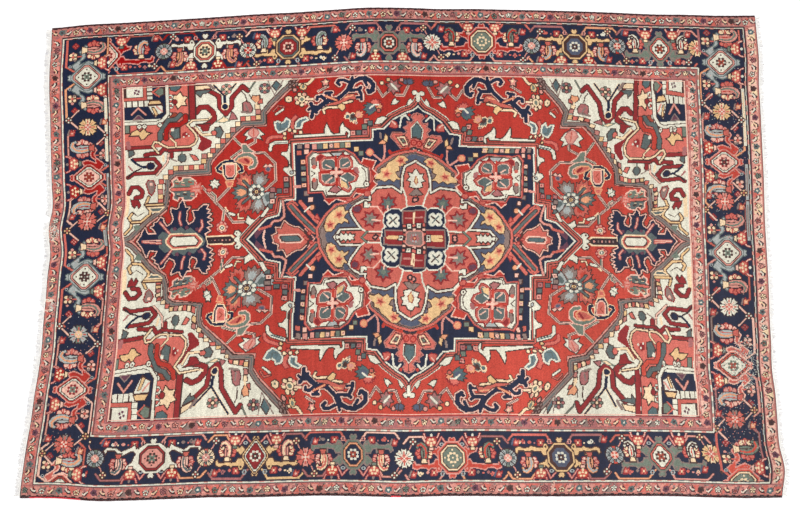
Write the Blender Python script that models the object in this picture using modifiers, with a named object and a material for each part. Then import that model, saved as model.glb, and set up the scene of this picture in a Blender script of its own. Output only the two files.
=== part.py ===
"""A hand-knotted wool rug with a medallion field, laid flat on a floor.

Pieces, each one solid: the woven rug, the overcast selvedge cord along each
long edge, and a flat-woven end strip with its cotton fringe at each short
edge. X runs along the length, Y across the width, Z up, metres. The rug is
old and lies a little crooked, so each edge strays from a straight line.
"""

import bmesh
import bpy
import numpy as np

MM = 0.001
LENGTH = 3.010  # mean length of the woven rug, without the fringe
WIDTH = 2.034  # mean width of the woven rug, without the selvedges
THICK = 0.009  # foundation and pile together
RIM = 0.0025  # rounding of the pile along its edges
GAP = 0.0003  # between neighbouring pieces
CELLS_LONG = 64
CELLS_WIDE = 34

SELVEDGE_RADIUS = 0.003

STRIP_WIDTH = 0.007  # flat-woven end that holds the fringe
STRIP_THICK = 0.0026
STRIP_INSET = 0.0005  # share of the width left clear at each corner
STRANDS = 119  # bunched strands at each end, seven to every two rug cells
STRAND_LENGTH = 0.025
STRAND_TIP = 0.45  # tip thickness as a share of the root's
STRAND_NARROWS = (0.8, 0.7)  # share of the width kept, root to middle and middle to tip
STRAND_UNEVEN = 0.14  # how far the lengths differ, as a share
STRAND_SWAY = 0.004  # sideways stray of the middle and of the tip
SWAY_TURN = (2.1, 0.7)  # radians from strand to strand, and from middle to tip
UNEVEN_TURN = 3.7  # radians from strand to strand
LOOKS_OUT = 0.7  # share of a face's normal that points away from the rug

# How far each edge of the laid rug strays from a straight one, in millimetres
# at even stations. The far and near edges run left to right and stray along
# +Y. The left and right edges run near to far and stray along +X.
FAR_MM = (-47, -32, -24, -15, -6, 4, 14, 21, 32, 41, 38, 33, 32, 28, 24, 19, 12, 4, 1, -4, -4)
NEAR_MM = (12, 10, -1, 1, 6, 11, 11, 14, 16, 13, 9, 12, 12, 10, 9, 9, 9, 8, 3, -1, 0)
LEFT_MM = (-29, -23, -14, -2, 6, 17, 25, 26, 30, 32, 38, 26, 37, 28, 20, 12, 5, -4, -9, -8, -9)
RIGHT_MM = (-1, 16, 1, 0, -1, -8, -4, -3, 1, 3, 4, 5, 9, 13, 15, 17, 19, 20, 27, 26, 23)

# Low swells where the rug doesn't lie quite down: centre along and across as
# shares of the length and width, reach along and across in metres, height in
# millimetres.
SWELLS = (
    (0.505, 0.93, 0.16, 0.34, 4.5),
    (0.30, 0.10, 0.30, 0.26, 3.0),
    (0.64, 0.06, 0.24, 0.20, 3.5),
    (0.86, 0.70, 0.22, 0.30, 2.5),
    (0.14, 0.60, 0.22, 0.16, 3.5),
)


def stray(table, share):
    """Smooth reading of an even-station table at shares 0 to 1, in metres."""
    values = np.asarray(table, float) * MM
    last = len(values) - 1
    at = np.clip(share, 0.0, 1.0) * last
    low = np.minimum(at.astype(int), last - 1)
    f = at - low
    a, b, c, d = (values[np.clip(low + k, 0, last)] for k in (-1, 0, 1, 2))
    return b + 0.5 * f * (c - a + f * (2 * a - 5 * b + 4 * c - d + f * (3 * (b - c) + d - a)))


def laid(s, t):
    """Floor position of a point of the rug, s along its length, t across."""
    s, t = np.broadcast_arrays(np.asarray(s, float), np.asarray(t, float))
    half_l, half_w = LENGTH / 2, WIDTH / 2
    near_left = (-half_l + LEFT_MM[0] * MM, -half_w + NEAR_MM[0] * MM)
    near_right = (half_l + RIGHT_MM[0] * MM, -half_w + NEAR_MM[-1] * MM)
    far_left = (-half_l + LEFT_MM[-1] * MM, half_w + FAR_MM[0] * MM)
    far_right = (half_l + RIGHT_MM[-1] * MM, half_w + FAR_MM[-1] * MM)
    far = (far_left[0] + s * (far_right[0] - far_left[0]), half_w + stray(FAR_MM, s))
    near = (near_left[0] + s * (near_right[0] - near_left[0]), -half_w + stray(NEAR_MM, s))
    left = (-half_l + stray(LEFT_MM, t), near_left[1] + t * (far_left[1] - near_left[1]))
    right = (half_l + stray(RIGHT_MM, t), near_right[1] + t * (far_right[1] - near_right[1]))
    place = [
        (1 - t) * near[k]
        + t * far[k]
        + (1 - s) * left[k]
        + s * right[k]
        - (1 - s) * (1 - t) * near_left[k]
        - s * (1 - t) * near_right[k]
        - (1 - s) * t * far_left[k]
        - s * t * far_right[k]
        for k in (0, 1)
    ]
    return np.stack(place, axis=-1)


def lift(s, t):
    """Height of the rug's underside over the floor."""
    s, t = np.broadcast_arrays(np.asarray(s, float), np.asarray(t, float))
    height = np.zeros(s.shape)
    for along, across, reach_l, reach_w, mm in SWELLS:
        r2 = ((s - along) * LENGTH / reach_l) ** 2 + ((t - across) * WIDTH / reach_w) ** 2
        height = np.maximum(height, mm * MM * np.clip(1 - r2, 0, None) ** 2)
    return height


def edge_line(stations_s, stations_t):
    """Points of one edge with the sideways unit vector, left of its run."""
    points = laid(stations_s, stations_t)
    run = np.gradient(points, axis=0)
    run /= np.linalg.norm(run, axis=1, keepdims=True)
    return points, np.stack([-run[:, 1], run[:, 0]], axis=1)


def material(name, colour, roughness):
    made = bpy.data.materials.new(name)
    made.use_nodes = True
    shader = made.node_tree.nodes["Principled BSDF"]
    shader.inputs["Base Color"].default_value = (*colour, 1.0)
    shader.inputs["Roughness"].default_value = roughness
    shader.inputs["Metallic"].default_value = 0.0
    return made


def keep(obj, name, slot, collection):
    obj.name = obj.data.name = name
    obj.data.materials.clear()
    obj.data.materials.append(slot)
    for holder in list(obj.users_collection):
        holder.objects.unlink(obj)
    collection.objects.link(obj)
    return obj


def set_points(mesh, points):
    mesh.vertices.foreach_set("co", np.asarray(points, np.float32).ravel())
    mesh.update()


def woven_rug():
    """The knotted rug: a laid grid, thickened, its rims rounded."""
    bpy.ops.mesh.primitive_grid_add(x_subdivisions=CELLS_LONG, y_subdivisions=CELLS_WIDE, size=1)
    rug = bpy.context.object
    flat = np.empty(len(rug.data.vertices) * 3, np.float32)
    rug.data.vertices.foreach_get("co", flat)
    flat = flat.reshape(-1, 3).astype(float) + 0.5
    s, t = flat[:, 0], flat[:, 1]
    set_points(rug.data, np.column_stack([laid(s, t), lift(s, t)]))
    solid = rug.modifiers.new("thickness", "SOLIDIFY")
    solid.thickness = THICK
    solid.offset = 1
    rim = rug.modifiers.new("rim", "BEVEL")
    rim.width = RIM
    rim.segments = 2
    rim.limit_method = "ANGLE"
    rim.angle_limit = np.radians(60)
    return rug


def selvedge(across, side):
    """Overcast cord along a long edge, lying against the rug."""
    s = np.linspace(0, 1, CELLS_LONG + 1)
    points, sideways = edge_line(s, np.full_like(s, across))
    centre = points + side * sideways * (GAP + SELVEDGE_RADIUS)
    height = lift(s, np.full_like(s, across)) + SELVEDGE_RADIUS
    curve = bpy.data.curves.new("selvedge", "CURVE")
    curve.dimensions = "3D"
    curve.bevel_depth = SELVEDGE_RADIUS
    curve.bevel_resolution = 1
    curve.use_fill_caps = True
    line = curve.splines.new("POLY")
    line.points.add(len(s) - 1)
    for point, place, z in zip(line.points, centre, height):
        point.co = (place[0], place[1], z, 1.0)
    cord = bpy.data.objects.new("selvedge", curve)
    bpy.context.collection.objects.link(cord)
    return cord


def fringe(along, side):
    """Flat-woven end strip with its bunched strands lying on the floor."""
    t_cells = np.linspace(0, 1, CELLS_WIDE + 1)
    points, sideways = edge_line(np.full_like(t_cells, along), t_cells)
    segments = 2 * STRANDS
    bpy.ops.mesh.primitive_grid_add(x_subdivisions=1, y_subdivisions=segments, size=1)
    strip = bpy.context.object
    flat = np.empty(len(strip.data.vertices) * 3, np.float32)
    strip.data.vertices.foreach_get("co", flat)
    flat = flat.reshape(-1, 3).astype(float) + 0.5
    out, t = flat[:, 0] if side < 0 else 1 - flat[:, 0], flat[:, 1]
    # a grid row runs from the rug's own edge outwards
    reach = GAP + STRIP_WIDTH * (1 - out)
    t = np.clip(t, STRIP_INSET, 1 - STRIP_INSET)
    base = np.column_stack([np.interp(t, t_cells, points[:, k]) for k in (0, 1)])
    away = np.column_stack([np.interp(t, t_cells, sideways[:, k]) for k in (0, 1)])
    place = base - side * away * reach[:, None]
    set_points(strip.data, np.column_stack([place, np.zeros(len(place))]))

    shape = bmesh.new()
    shape.from_mesh(strip.data)
    grown = bmesh.ops.extrude_face_region(shape, geom=shape.faces[:])
    for vert in grown["geom"]:
        if isinstance(vert, bmesh.types.BMVert):
            vert.co.z += STRIP_THICK
    bmesh.ops.recalc_face_normals(shape, faces=shape.faces[:])
    shape.faces.ensure_lookup_table()
    outer = [face for face in shape.faces if face.normal.x * side > LOOKS_OUT]
    outer.sort(key=lambda face: face.calc_center_median().y)
    roots = outer[1::2]
    for step in (1, 2):
        roots = bmesh.ops.extrude_discrete_faces(shape, faces=roots)["faces"]
        for index, face in enumerate(roots):
            centre = face.calc_center_median()
            sway = STRAND_SWAY * np.sin(SWAY_TURN[0] * index + SWAY_TURN[1] * step)
            size = 1 - (1 - STRAND_TIP) * step / 2
            uneven = 1 + STRAND_UNEVEN * np.sin(UNEVEN_TURN * index)
            for vert in face.verts:
                vert.co.x += side * STRAND_LENGTH / 2 * uneven
                vert.co.y = centre.y + (vert.co.y - centre.y) * STRAND_NARROWS[step - 1] + sway
                if vert.co.z > STRIP_THICK * STRAND_TIP / 2:
                    vert.co.z = STRIP_THICK * size
    bmesh.ops.recalc_face_normals(shape, faces=shape.faces[:])
    shape.to_mesh(strip.data)
    shape.free()
    return strip


def centre_on_origin(objects):
    """Moves every piece so that the whole rug's box is centred over the origin."""
    bpy.context.view_layer.update()
    graph = bpy.context.evaluated_depsgraph_get()
    corners = []
    for obj in objects:
        evaluated = obj.evaluated_get(graph)
        corners += [obj.matrix_world @ vert.co for vert in evaluated.to_mesh().vertices]
        evaluated.to_mesh_clear()
    corners = np.array(corners)
    low, high = corners.min(axis=0), corners.max(axis=0)
    shift = -(low + high) / 2
    for obj in objects:
        obj.location.x += shift[0]
        obj.location.y += shift[1]
    print("box", (high - low).round(4), "moved by", shift[:2].round(4))


for old in list(bpy.data.objects):
    bpy.data.objects.remove(old, do_unlink=True)
bpy.context.scene.unit_settings.system = "METRIC"
bpy.context.scene.unit_settings.scale_length = 1.0

rug_collection = bpy.data.collections.new("persian_rug")
bpy.context.scene.collection.children.link(rug_collection)

wool = material("knotted_wool", (0.40, 0.105, 0.075), 0.95)
overcast = material("overcast_wool", (0.085, 0.035, 0.03), 0.9)
cotton = material("fringe_cotton", (0.66, 0.63, 0.57), 0.9)

pieces = [
    keep(woven_rug(), "pile", wool, rug_collection),
    keep(selvedge(1.0, 1), "selvedge_far", overcast, rug_collection),
    keep(selvedge(0.0, -1), "selvedge_near", overcast, rug_collection),
    keep(fringe(0.0, -1), "fringe_left", cotton, rug_collection),
    keep(fringe(1.0, 1), "fringe_right", cotton, rug_collection),
]
centre_on_origin(pieces)
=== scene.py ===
import math

import bpy
import numpy as np
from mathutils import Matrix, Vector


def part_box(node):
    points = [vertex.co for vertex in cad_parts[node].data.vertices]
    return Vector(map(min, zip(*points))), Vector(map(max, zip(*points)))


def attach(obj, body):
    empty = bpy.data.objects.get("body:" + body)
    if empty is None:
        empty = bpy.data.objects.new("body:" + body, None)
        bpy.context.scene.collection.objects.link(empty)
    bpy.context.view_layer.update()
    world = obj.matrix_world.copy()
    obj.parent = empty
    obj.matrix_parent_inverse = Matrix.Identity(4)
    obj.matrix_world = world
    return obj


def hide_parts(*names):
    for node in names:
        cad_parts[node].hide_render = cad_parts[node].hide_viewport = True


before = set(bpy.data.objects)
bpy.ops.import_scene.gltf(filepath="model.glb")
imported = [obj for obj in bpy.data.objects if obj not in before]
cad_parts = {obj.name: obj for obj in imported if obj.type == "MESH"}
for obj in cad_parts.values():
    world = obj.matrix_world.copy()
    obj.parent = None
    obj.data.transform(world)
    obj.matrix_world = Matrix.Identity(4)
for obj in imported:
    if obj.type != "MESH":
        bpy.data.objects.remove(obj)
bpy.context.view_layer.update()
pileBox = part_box("pile")


# the laid rug: the same crooked outline as the solids, in metres and in millimetre tables
rug = {
    "length": 3.010,
    "width": 2.034,
    "thick": 0.009,
    "farMm": (-47, -32, -24, -15, -6, 4, 14, 21, 32, 41, 38, 33, 32, 28, 24, 19, 12, 4, 1, -4, -4),
    "nearMm": (12, 10, -1, 1, 6, 11, 11, 14, 16, 13, 9, 12, 12, 10, 9, 9, 9, 8, 3, -1, 0),
    "leftMm": (-29, -23, -14, -2, 6, 17, 25, 26, 30, 32, 38, 26, 37, 28, 20, 12, 5, -4, -9, -8, -9),
    "rightMm": (-1, 16, 1, 0, -1, -8, -4, -3, 1, 3, 4, 5, 9, 13, 15, 17, 19, 20, 27, 26, 23),
    # centre along, centre across, reach along, reach across, height in mm
    "swells": (
        (0.505, 0.93, 0.16, 0.34, 4.5), (0.30, 0.10, 0.30, 0.26, 3.0), (0.64, 0.06, 0.24, 0.20, 3.5),
        (0.86, 0.70, 0.22, 0.30, 2.5), (0.14, 0.60, 0.22, 0.16, 3.5),
    ),
    "gap": 0.0003,  # between the cloth and its edge pieces
    "rim": 0.0025,  # rounding of the cloth's edges
    "rimAngle": 60,  # corners sharper than this are rounded
    "smoothAngle": 40,
}
# knots in the chart, the side of the block that one face carries, and the base its wools are packed in
knots = {"along": 968, "across": 656, "block": 4, "base": 32.0}


def stray(table, share):
    values = np.asarray(table, float) / 1000
    last = len(values) - 1
    at = np.clip(share, 0.0, 1.0) * last
    low = np.minimum(at.astype(int), last - 1)
    f = at - low
    a, b, c, d = (values[np.clip(low + k, 0, last)] for k in (-1, 0, 1, 2))
    return b + 0.5 * f * (c - a + f * (2 * a - 5 * b + 4 * c - d + f * (3 * (b - c) + d - a)))


def laidRaw(s, t):
    s, t = np.broadcast_arrays(np.asarray(s, float), np.asarray(t, float))
    halfL, halfW = rug["length"] / 2, rug["width"] / 2
    left, right = stray(rug["leftMm"], t), stray(rug["rightMm"], t)
    near, far = stray(rug["nearMm"], s), stray(rug["farMm"], s)
    ends = [stray(rug[k], np.array([0.0, 1.0])) for k in ("leftMm", "rightMm", "nearMm", "farMm")]
    nl, nr = (-halfL + ends[0][0], -halfW + ends[2][0]), (halfL + ends[1][0], -halfW + ends[2][1])
    fl, fr = (-halfL + ends[0][1], halfW + ends[3][0]), (halfL + ends[1][1], halfW + ends[3][1])
    farLine = (fl[0] + s * (fr[0] - fl[0]), halfW + far)
    nearLine = (nl[0] + s * (nr[0] - nl[0]), -halfW + near)
    leftLine = (-halfL + left, nl[1] + t * (fl[1] - nl[1]))
    rightLine = (halfL + right, nr[1] + t * (fr[1] - nr[1]))
    place = [
        (1 - t) * nearLine[k] + t * farLine[k] + (1 - s) * leftLine[k] + s * rightLine[k]
        - (1 - s) * (1 - t) * nl[k] - s * (1 - t) * nr[k] - (1 - s) * t * fl[k] - s * t * fr[k]
        for k in (0, 1)
    ]
    return np.stack(place, axis=-1)


# the solids are centred over the origin, so the laid rug is moved the same way
rim = np.linspace(0, 1, 400)
sides = ((rim, 0 * rim), (rim, 0 * rim + 1), (0 * rim, rim), (0 * rim + 1, rim))
rimPoints = np.concatenate([laidRaw(s, t) for s, t in sides])
laidShift = (np.array(pileBox[0][:2]) + np.array(pileBox[1][:2]) - rimPoints.min(0) - rimPoints.max(0)) / 2
print("laid outline moved by", laidShift.round(5))


def laid(s, t):
    return laidRaw(s, t) + laidShift


def lift(s, t):
    s, t = np.broadcast_arrays(np.asarray(s, float), np.asarray(t, float))
    height = np.zeros(s.shape)
    for along, across, reachL, reachW, mm in rug["swells"]:
        r2 = ((s - along) * rug["length"] / reachL) ** 2 + ((t - across) * rug["width"] / reachW) ** 2
        height = np.maximum(height, mm / 1000 * np.clip(1 - r2, 0, None) ** 2)
    return height


# camera
camera = {
    "elevation": 79.1,
    "roll": -0.27,
    "distance": 4.570,
    "aim": (-0.0142, -0.0453),
    "lens": 49.5,  # and the sensor's width, in millimetres
    "sensor": 36,
    "sight": 60,  # the farthest it sees, in metres
}


def addCamera():
    data = bpy.data.cameras.new("camera")
    data.lens = camera["lens"]
    data.sensor_width = camera["sensor"]
    data.clip_end = camera["sight"]
    cam = bpy.data.objects.new("camera", data)
    bpy.context.scene.collection.objects.link(cam)
    rise = math.radians(camera["elevation"])
    aimX, aimY = camera["aim"][0] + laidShift[0], camera["aim"][1] + laidShift[1]
    cam.location = (aimX, aimY - camera["distance"] * math.cos(rise), camera["distance"] * math.sin(rise))
    cam.rotation_mode = "ZYX"
    cam.rotation_euler = (math.pi / 2 - rise, 0, math.radians(camera["roll"]))
    bpy.context.scene.camera = cam


addCamera()


# wools: sRGB 0-255, as they look in soft light
wools = {
    "madder": (157, 15, 17),
    "maroon": (142, 42, 44),
    "brick": (188, 122, 112),
    "salmon": (208, 107, 94),
    "pink": (216, 146, 132),
    "peach": (236, 186, 166),
    "coral": (197, 98, 85),
    "navy": (31, 38, 60),
    "blue": (82, 88, 106),
    "teal": (82, 102, 104),
    "sage": (112, 122, 108),
    "mauve": (138, 116, 108),
    "plum": (102, 62, 76),
    "ivory": (224, 219, 199),
    "cream": (240, 210, 170),
    "gold": (226, 186, 134),
    "brown": (56, 40, 44),
    "umber": (76, 50, 46),
    "silver": (168, 172, 168),
    "rose": (168, 104, 102),
    "apricot": (226, 156, 116),
    "sky": (100, 120, 124),
    "rust": (156, 70, 52),
    "slate": (92, 102, 100),
}
woolNumber = {name: number for number, name in enumerate(wools)}


def linear(colour):
    part = np.array(colour, float) / 255
    return tuple(np.where(part <= 0.04045, part / 12.92, ((part + 0.055) / 1.055) ** 2.4)) + (1.0,)


# the knot chart
chart = np.full((knots["across"], knots["along"]), woolNumber["madder"], np.uint8)


def straight(points):
    return np.asarray(points, float)


def placed(x, y, turn=0, size=(1.0, 1.0)):
    # a way to put a motif drawn round (0, 0) somewhere on the chart
    c, s = math.cos(math.radians(turn)), math.sin(math.radians(turn))

    def at(points):
        p = np.asarray(points, float) * size
        return np.stack([x + c * p[:, 0] - s * p[:, 1], y + s * p[:, 0] + c * p[:, 1]], axis=1)

    return at


def window(p, margin=0.0):
    x0, y0 = np.floor(p.min(0) - margin).astype(int)
    x1, y1 = np.ceil(p.max(0) + margin).astype(int)
    x0, x1 = max(x0, 0), min(x1, knots["along"])
    y0, y1 = max(y0, 0), min(y1, knots["across"])
    if x1 <= x0 or y1 <= y0:
        return None
    return np.s_[y0:y1, x0:x1], np.arange(x0, x1)[None, :] + 0.5, np.arange(y0, y1)[:, None] + 0.5


def fill(at, points, wool):
    p = at(points)
    found = window(p)
    if found is None:
        return
    part, gx, gy = found
    inside = np.zeros((gy.size, gx.size), bool)
    for (ax, ay), (bx, by) in zip(p, np.roll(p, -1, axis=0)):
        if ay != by:
            inside ^= ((ay > gy) != (by > gy)) & (gx < (bx - ax) * (gy - ay) / (by - ay) + ax)
    chart[part][inside] = woolNumber[wool]


def line(at, points, wool, width=1.5, closed=False):
    p = at(points)
    if closed:
        p = np.vstack([p, p[:1]])
    for a, b in zip(p[:-1], p[1:]):
        found = window(np.array([a, b]), width)
        if found is None:
            continue
        part, gx, gy = found
        run = b - a
        share = ((gx - a[0]) * run[0] + (gy - a[1]) * run[1]) / max(run @ run, 1e-9)
        share = np.clip(share, 0, 1)
        near = (gx - a[0] - share * run[0]) ** 2 + (gy - a[1] - share * run[1]) ** 2 <= (width / 2) ** 2
        chart[part][near] = woolNumber[wool]


outline = 1.3  # strength of every outline


def shape(at, points, wool, edge="umber", width=1.0):
    fill(at, points, wool)
    if edge:
        line(at, points, edge, width * outline, closed=True)


def disc(x, y, rx, ry=None, sides=16, start=0.0):
    turn = np.arange(sides) / sides * 2 * math.pi + math.radians(start)
    return np.stack([x + rx * np.cos(turn), y + (ry or rx) * np.sin(turn)], axis=1)


def dot(at, x, y, r, wool, edge=None, width=1.2):
    shape(at, disc(x, y, r), wool, edge, width)


def box(x0, y0, x1, y1):
    return [(x0, y0), (x1, y0), (x1, y1), (x0, y1)]


def octagon(x, y, rx, ry, cut=0.42):
    cx, cy = rx * cut, ry * cut
    return [
        (x - rx, y - ry + cy), (x - rx + cx, y - ry), (x + rx - cx, y - ry), (x + rx, y - ry + cy),
        (x + rx, y + ry - cy), (x + rx - cx, y + ry), (x - rx + cx, y + ry), (x - rx, y + ry - cy),
    ]


# grounds and plain lines, in knots from the near left corner
lay = {
    "edge": (0, 0, 968, 656),  # left, near, right and far edge of the pile
    "outer": (17.5, 17.5, 949, 638),  # and of the main border
    "inner": (80.5, 81, 885, 579),
    "field": (99, 100.5, 867, 560.5),
}


def lines(rect, rows):
    # plain lines round a rectangle: distance inwards, width, wool
    x0, y0, x1, y1 = rect
    for inset, width, wool in rows:
        line(straight, box(x0 + inset, y0 + inset, x1 - inset, y1 - inset), wool, width, closed=True)


def within(at, x, y, turn=0, size=(1, 1)):
    # a place inside a motif that is itself placed
    inner = placed(x, y, turn, size)
    return lambda points: at(inner(points))


def rays(at, x, y, r, count, start, petal, wool, edge=None):
    for k in range(count):
        turn = math.radians(start + 360 * k / count)
        dot(at, x + r * math.cos(turn), y + r * math.sin(turn), petal, wool, edge)


# the two narrow guards: a hook and a small flower by turns, with the vine's corners between them
guard = {
    "flowers": (
        "sage", "ivory", "slate", "cream", "plum", "pink", "umber", "ivory", "rose", "cream", "teal",
    ),
    # wools of the mottled grounds
    "deep": ("brick", "brick", "rose", "salmon", "mauve", "coral", "pink", "brick"),
    "fair": ("brick", "salmon", "brick", "salmon", "rose", "pink", "pink", "mauve"),
    "pale": ("peach", "salmon", "pink", "peach", "pink", "salmon", "peach", "pink"),
    "worn": ("peach", "pink", "peach", "cream", "pink", "salmon", "peach", "peach"),
}


def hook(at, number):
    line(at, [(-3.4, 0.6), (-0.4, -3.2), (3.2, -3.2)], "brown")
    line(at, [(0.2, 1.8), (2.8, 0.2)], "brown", 1.7)
    line(at, [(-2.7, 2.2), (-1.4, 0.4), (1.2, -1.7), (2.8, -0.7)], "ivory" if number % 3 else "cream")


def sprig(at, number):
    wool = guard["flowers"][number // 2 % len(guard["flowers"])]
    if wool in ("slate", "umber", "plum", "teal"):
        rays(at, 0, 0, 2.6, 5, 45, 1.9, wool)
        dot(at, 0, 0, 1.4, "ivory" if wool == "teal" else "brown")
        return
    rays(at, 0, 0, 2.6, 5, 18, 1.9, "brown")
    rays(at, 0, 0, 2.5, 5, 18, 1.1, wool)
    dot(at, 0, 0, 1.1, "rust" if number % 4 else wool)


def guardStripe(x, y, turn, length, wide, first, step, look="fair"):
    at = placed(x, y, turn)
    count = int(length / step)
    step = length / count
    p = at([(0, -7.5), (length, 7.5)])
    (x0, y0), (x1, y1) = np.clip([p.min(0), p.max(0)], 0, [knots["along"], knots["across"]]).astype(int)
    rng = np.random.default_rng(int(x + y))
    tones = np.array([woolNumber[wool] for wool in guard[look]])
    cells = rng.choice(tones, ((y1 - y0) // 3 + 1, (x1 - x0) // 3 + 1))
    chart[y0:y1, x0:x1] = np.kron(cells, np.ones((3, 3), int))[: y1 - y0, : x1 - x0]
    for k in range(count):
        u, tip = (k + 0.5) * step, (1 if k % 4 < 2 else -1) * wide / 15
        wedge = [(u, tip * 6), (u + step * 0.8, tip * 6), (u + step / 2, tip * -3)]
        fill(at, wedge, guard[look][(k + first) * 5 % 8])
        line(at, [(u - 1, tip * 6), (u + step / 2, tip * -5)], "umber", 0.9)
    for v in (-6.6, 6.6):
        line(at, [(0, v), (length, v)], "rose", 1)
    for k in range(count):
        side = 1 if k % 4 < 2 else -1
        spot = within(at, (k + 0.5) * step, 0.7 * side, 0, (side, wide / 15))
        (hook if (k + first) % 2 else sprig)(spot, k + first)


def guards():
    far, near, left, right = 648, 7.5, 7.5, 959
    guardStripe(0, near, 0, knots["along"], 15, 0, 10.9)
    guardStripe(0, far, 0, knots["along"], 15, 3, 9.5, "deep")
    guardStripe(left, 16, 90, 622, 14, 2, 10.2)
    guardStripe(right, 16, 90, 622, 15, 5, 10.2, "worn")
    guardStripe(86, 92, 0, 796, 14, 1, 10.7)
    guardStripe(86, 570, 0, 796, 14, 4, 9.7, "deep")
    guardStripe(91, 98, 90, 464, 14, 1, 10.4)
    guardStripe(876, 98, 90, 464, 14, 6, 10.4, "pale")


# the main border: one palmette with two long arms, two half flowers and two curled leaves.
# every motif is drawn with u along the border and v across it, v upwards on the side of the arms
turtle = {
    "arm": [
        (13, 11), (16, 17), (20, 18), (22, 13), (28, 12.5), (31, 15), (34, 12.5), (41, 12), (46, 14),
        (51, 12.5), (52, 6), (49, 4), (47, 8), (41, 8), (37, 7), (35, 2), (31, 3), (31, 8), (25, 7),
        (22, 2), (17, 2), (14, 5),
    ],
    "horn": [
        (12, -2), (19, -1), (22, -5), (30, -8), (32, -12), (27, -12), (24, -16), (21, -11), (17, -14),
        (13, -10),
    ],
    # arm and horn grown together, on the ivory palmette
    "wing": [
        (9, 20), (14.6, 15.7), (21, 12.8), (23, 18.5), (27.5, 15), (32, 10), (38.5, 14.5), (51, 16),
        (55, 11), (52, 5.5), (50, 11), (41, 11), (36, 6.5), (30, 4), (28.5, 8.7), (25, 9.5), (21.5, 6),
        (24, 1.5), (25.5, -4), (31, -13.5), (21, -13.5), (17, -18), (11.5, -14.5), (7, -19),
    ],
    # the heavier, bent arm of the side borders
    "blade": [
        (10, 15), (18.5, 21.5), (27.5, 10), (32, 7.5), (39, 11.5), (43, 8.5), (49.5, 3.5), (47.5, 0),
        (41, 5), (32, 2.5), (27.5, 4.5), (25, 9), (19.5, 10), (22, 4.5), (24.5, -2), (21.5, -9.5), (15, -5),
    ],
    "leaf": [
        (-4, 0), (-6, 6), (-6, 14), (-3, 20), (2, 23), (8, 21), (10, 15), (7, 13), (5, 17), (2, 16),
        (4, 10), (3, 0),
    ],
    "finial": [(-1.2, 17), (-4.6, 22), (-3, 26), (0, 24.5), (3, 26), (4.6, 22), (1.2, 17)],
    "petal": [(3, -1.2), (7.5, -3.4), (11.5, -3.3), (10.2, 0), (11.5, 3.3), (7.5, 3.4), (3, 1.2)],
}
# body, rim, ring, disc, petals, leaf and core of the curled leaves, the shield's half sides, its cut corners
palettes = {
    "ivory": ("ivory", "umber", "maroon", "pink", "umber", "peach", "slate", 16, 16, 0.56),
    "ivoryRed": ("ivory", "umber", "coral", "cream", "umber", "apricot", "rose", 12.5, 13.5, 0.56),
    "gold": ("gold", "umber", "slate", "maroon", "peach", "silver", "sage", 14, 15, 0.56),
    "goldPointed": ("gold", "umber", "ivory", "maroon", "ivory", "pink", "cream", 14, 20, 0.9),
    "goldBlue": ("gold", "umber", "umber", "blue", "ivory", "apricot", "silver", 14.5, 15.5, 0.6),
    "sage": ("sage", "mauve", "apricot", "navy", "ivory", "cream", "salmon", 12.5, 15.5, 0.62),
    "sageRed": ("sage", "mauve", "salmon", "brown", "ivory", "silver", "peach", 12, 13, 0.56),
    "sagePale": ("sage", "mauve", "coral", "ivory", "umber", "ivory", "umber", 13.5, 16.5, 0.8),
    "silver": ("silver", "slate", "pink", "ivory", "umber", "pink", "sage", 17.5, 18.5, 0.85),
    "red": ("madder", "pink", "cream", "sage", "cream", "sage", "madder", 15.5, 17, 0.62),
    "faded": ("coral", "peach", "madder", "ivory", "sage", "silver", "apricot", 16, 19.5, 0.85),
    "redPale": ("madder", "pink", "ivory", "peach", "maroon", "silver", "apricot", 14.5, 18, 0.85),
}


def halfFlower(at, number):
    for x in (-1, 1):
        line(at, [(x * 4.5, -1), (x * 8, -6), (x * 9.5, -10)], "maroon", 3)
        line(at, [(x * 4.5, -1), (x * 8, -6), (x * 9.5, -10)], ("pink", "peach")[number % 2])
    tone = ("coral", "salmon", "madder", "coral")[number % 4]
    shape(at, [(-6, -6), (-7.4, 0), (-3.5, 5), (3.5, 5), (7.4, 0), (6, -6)], tone, "maroon")
    shape(at, [(-4, 5), (-2.6, 9), (2.6, 9), (4, 5)], ("peach", "sage", "cream")[number % 3], "umber", 0.9)
    for du, dv in ((-4, 0), (0, 0.5), (4, 0), (-2, -3.4), (2, -3.4), (0, 3.6)):
        dot(at, du, dv, 1.4, "cream")
    dot(at, 0, -8.5, 1.7, ("mauve", "ivory")[number % 2])


def curledLeaf(at, outer, core, number):
    for side in (-1, 1):
        tone = ("peach", "salmon", "pink", "cream")[(number + side) % 4]
        for dv in (4, 8.2, 12.4):
            dot(at, side * (8.6 - abs(dv - 8.2) * 0.4) - 0.5, dv, 2.8, tone, "maroon", 0.8)
        line(at, [(side * 4, 8.2), (side * 11, 8.2)], "coral", 1.1)
    shape(at, turtle["leaf"], outer, "brown", 1.1)
    line(at, [(-2.2, 2), (-3.4, 9), (-2, 15), (3, 19.6), (7, 18)], core, 2.4)
    line(at, [(0.6, 1), (0, 9), (1, 14)], "madder" if number % 3 == 0 else "umber", 1.3)
    shape(at, [(-4.5, -5), (-2.5, 1.5), (2.5, 1.5), (4.5, -5)], ("cream", "coral")[number % 2], "umber", 0.9)


def bar(at, points, wool):
    line(at, points, "umber", 3.9)
    line(at, points, wool, 2.3)


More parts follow.
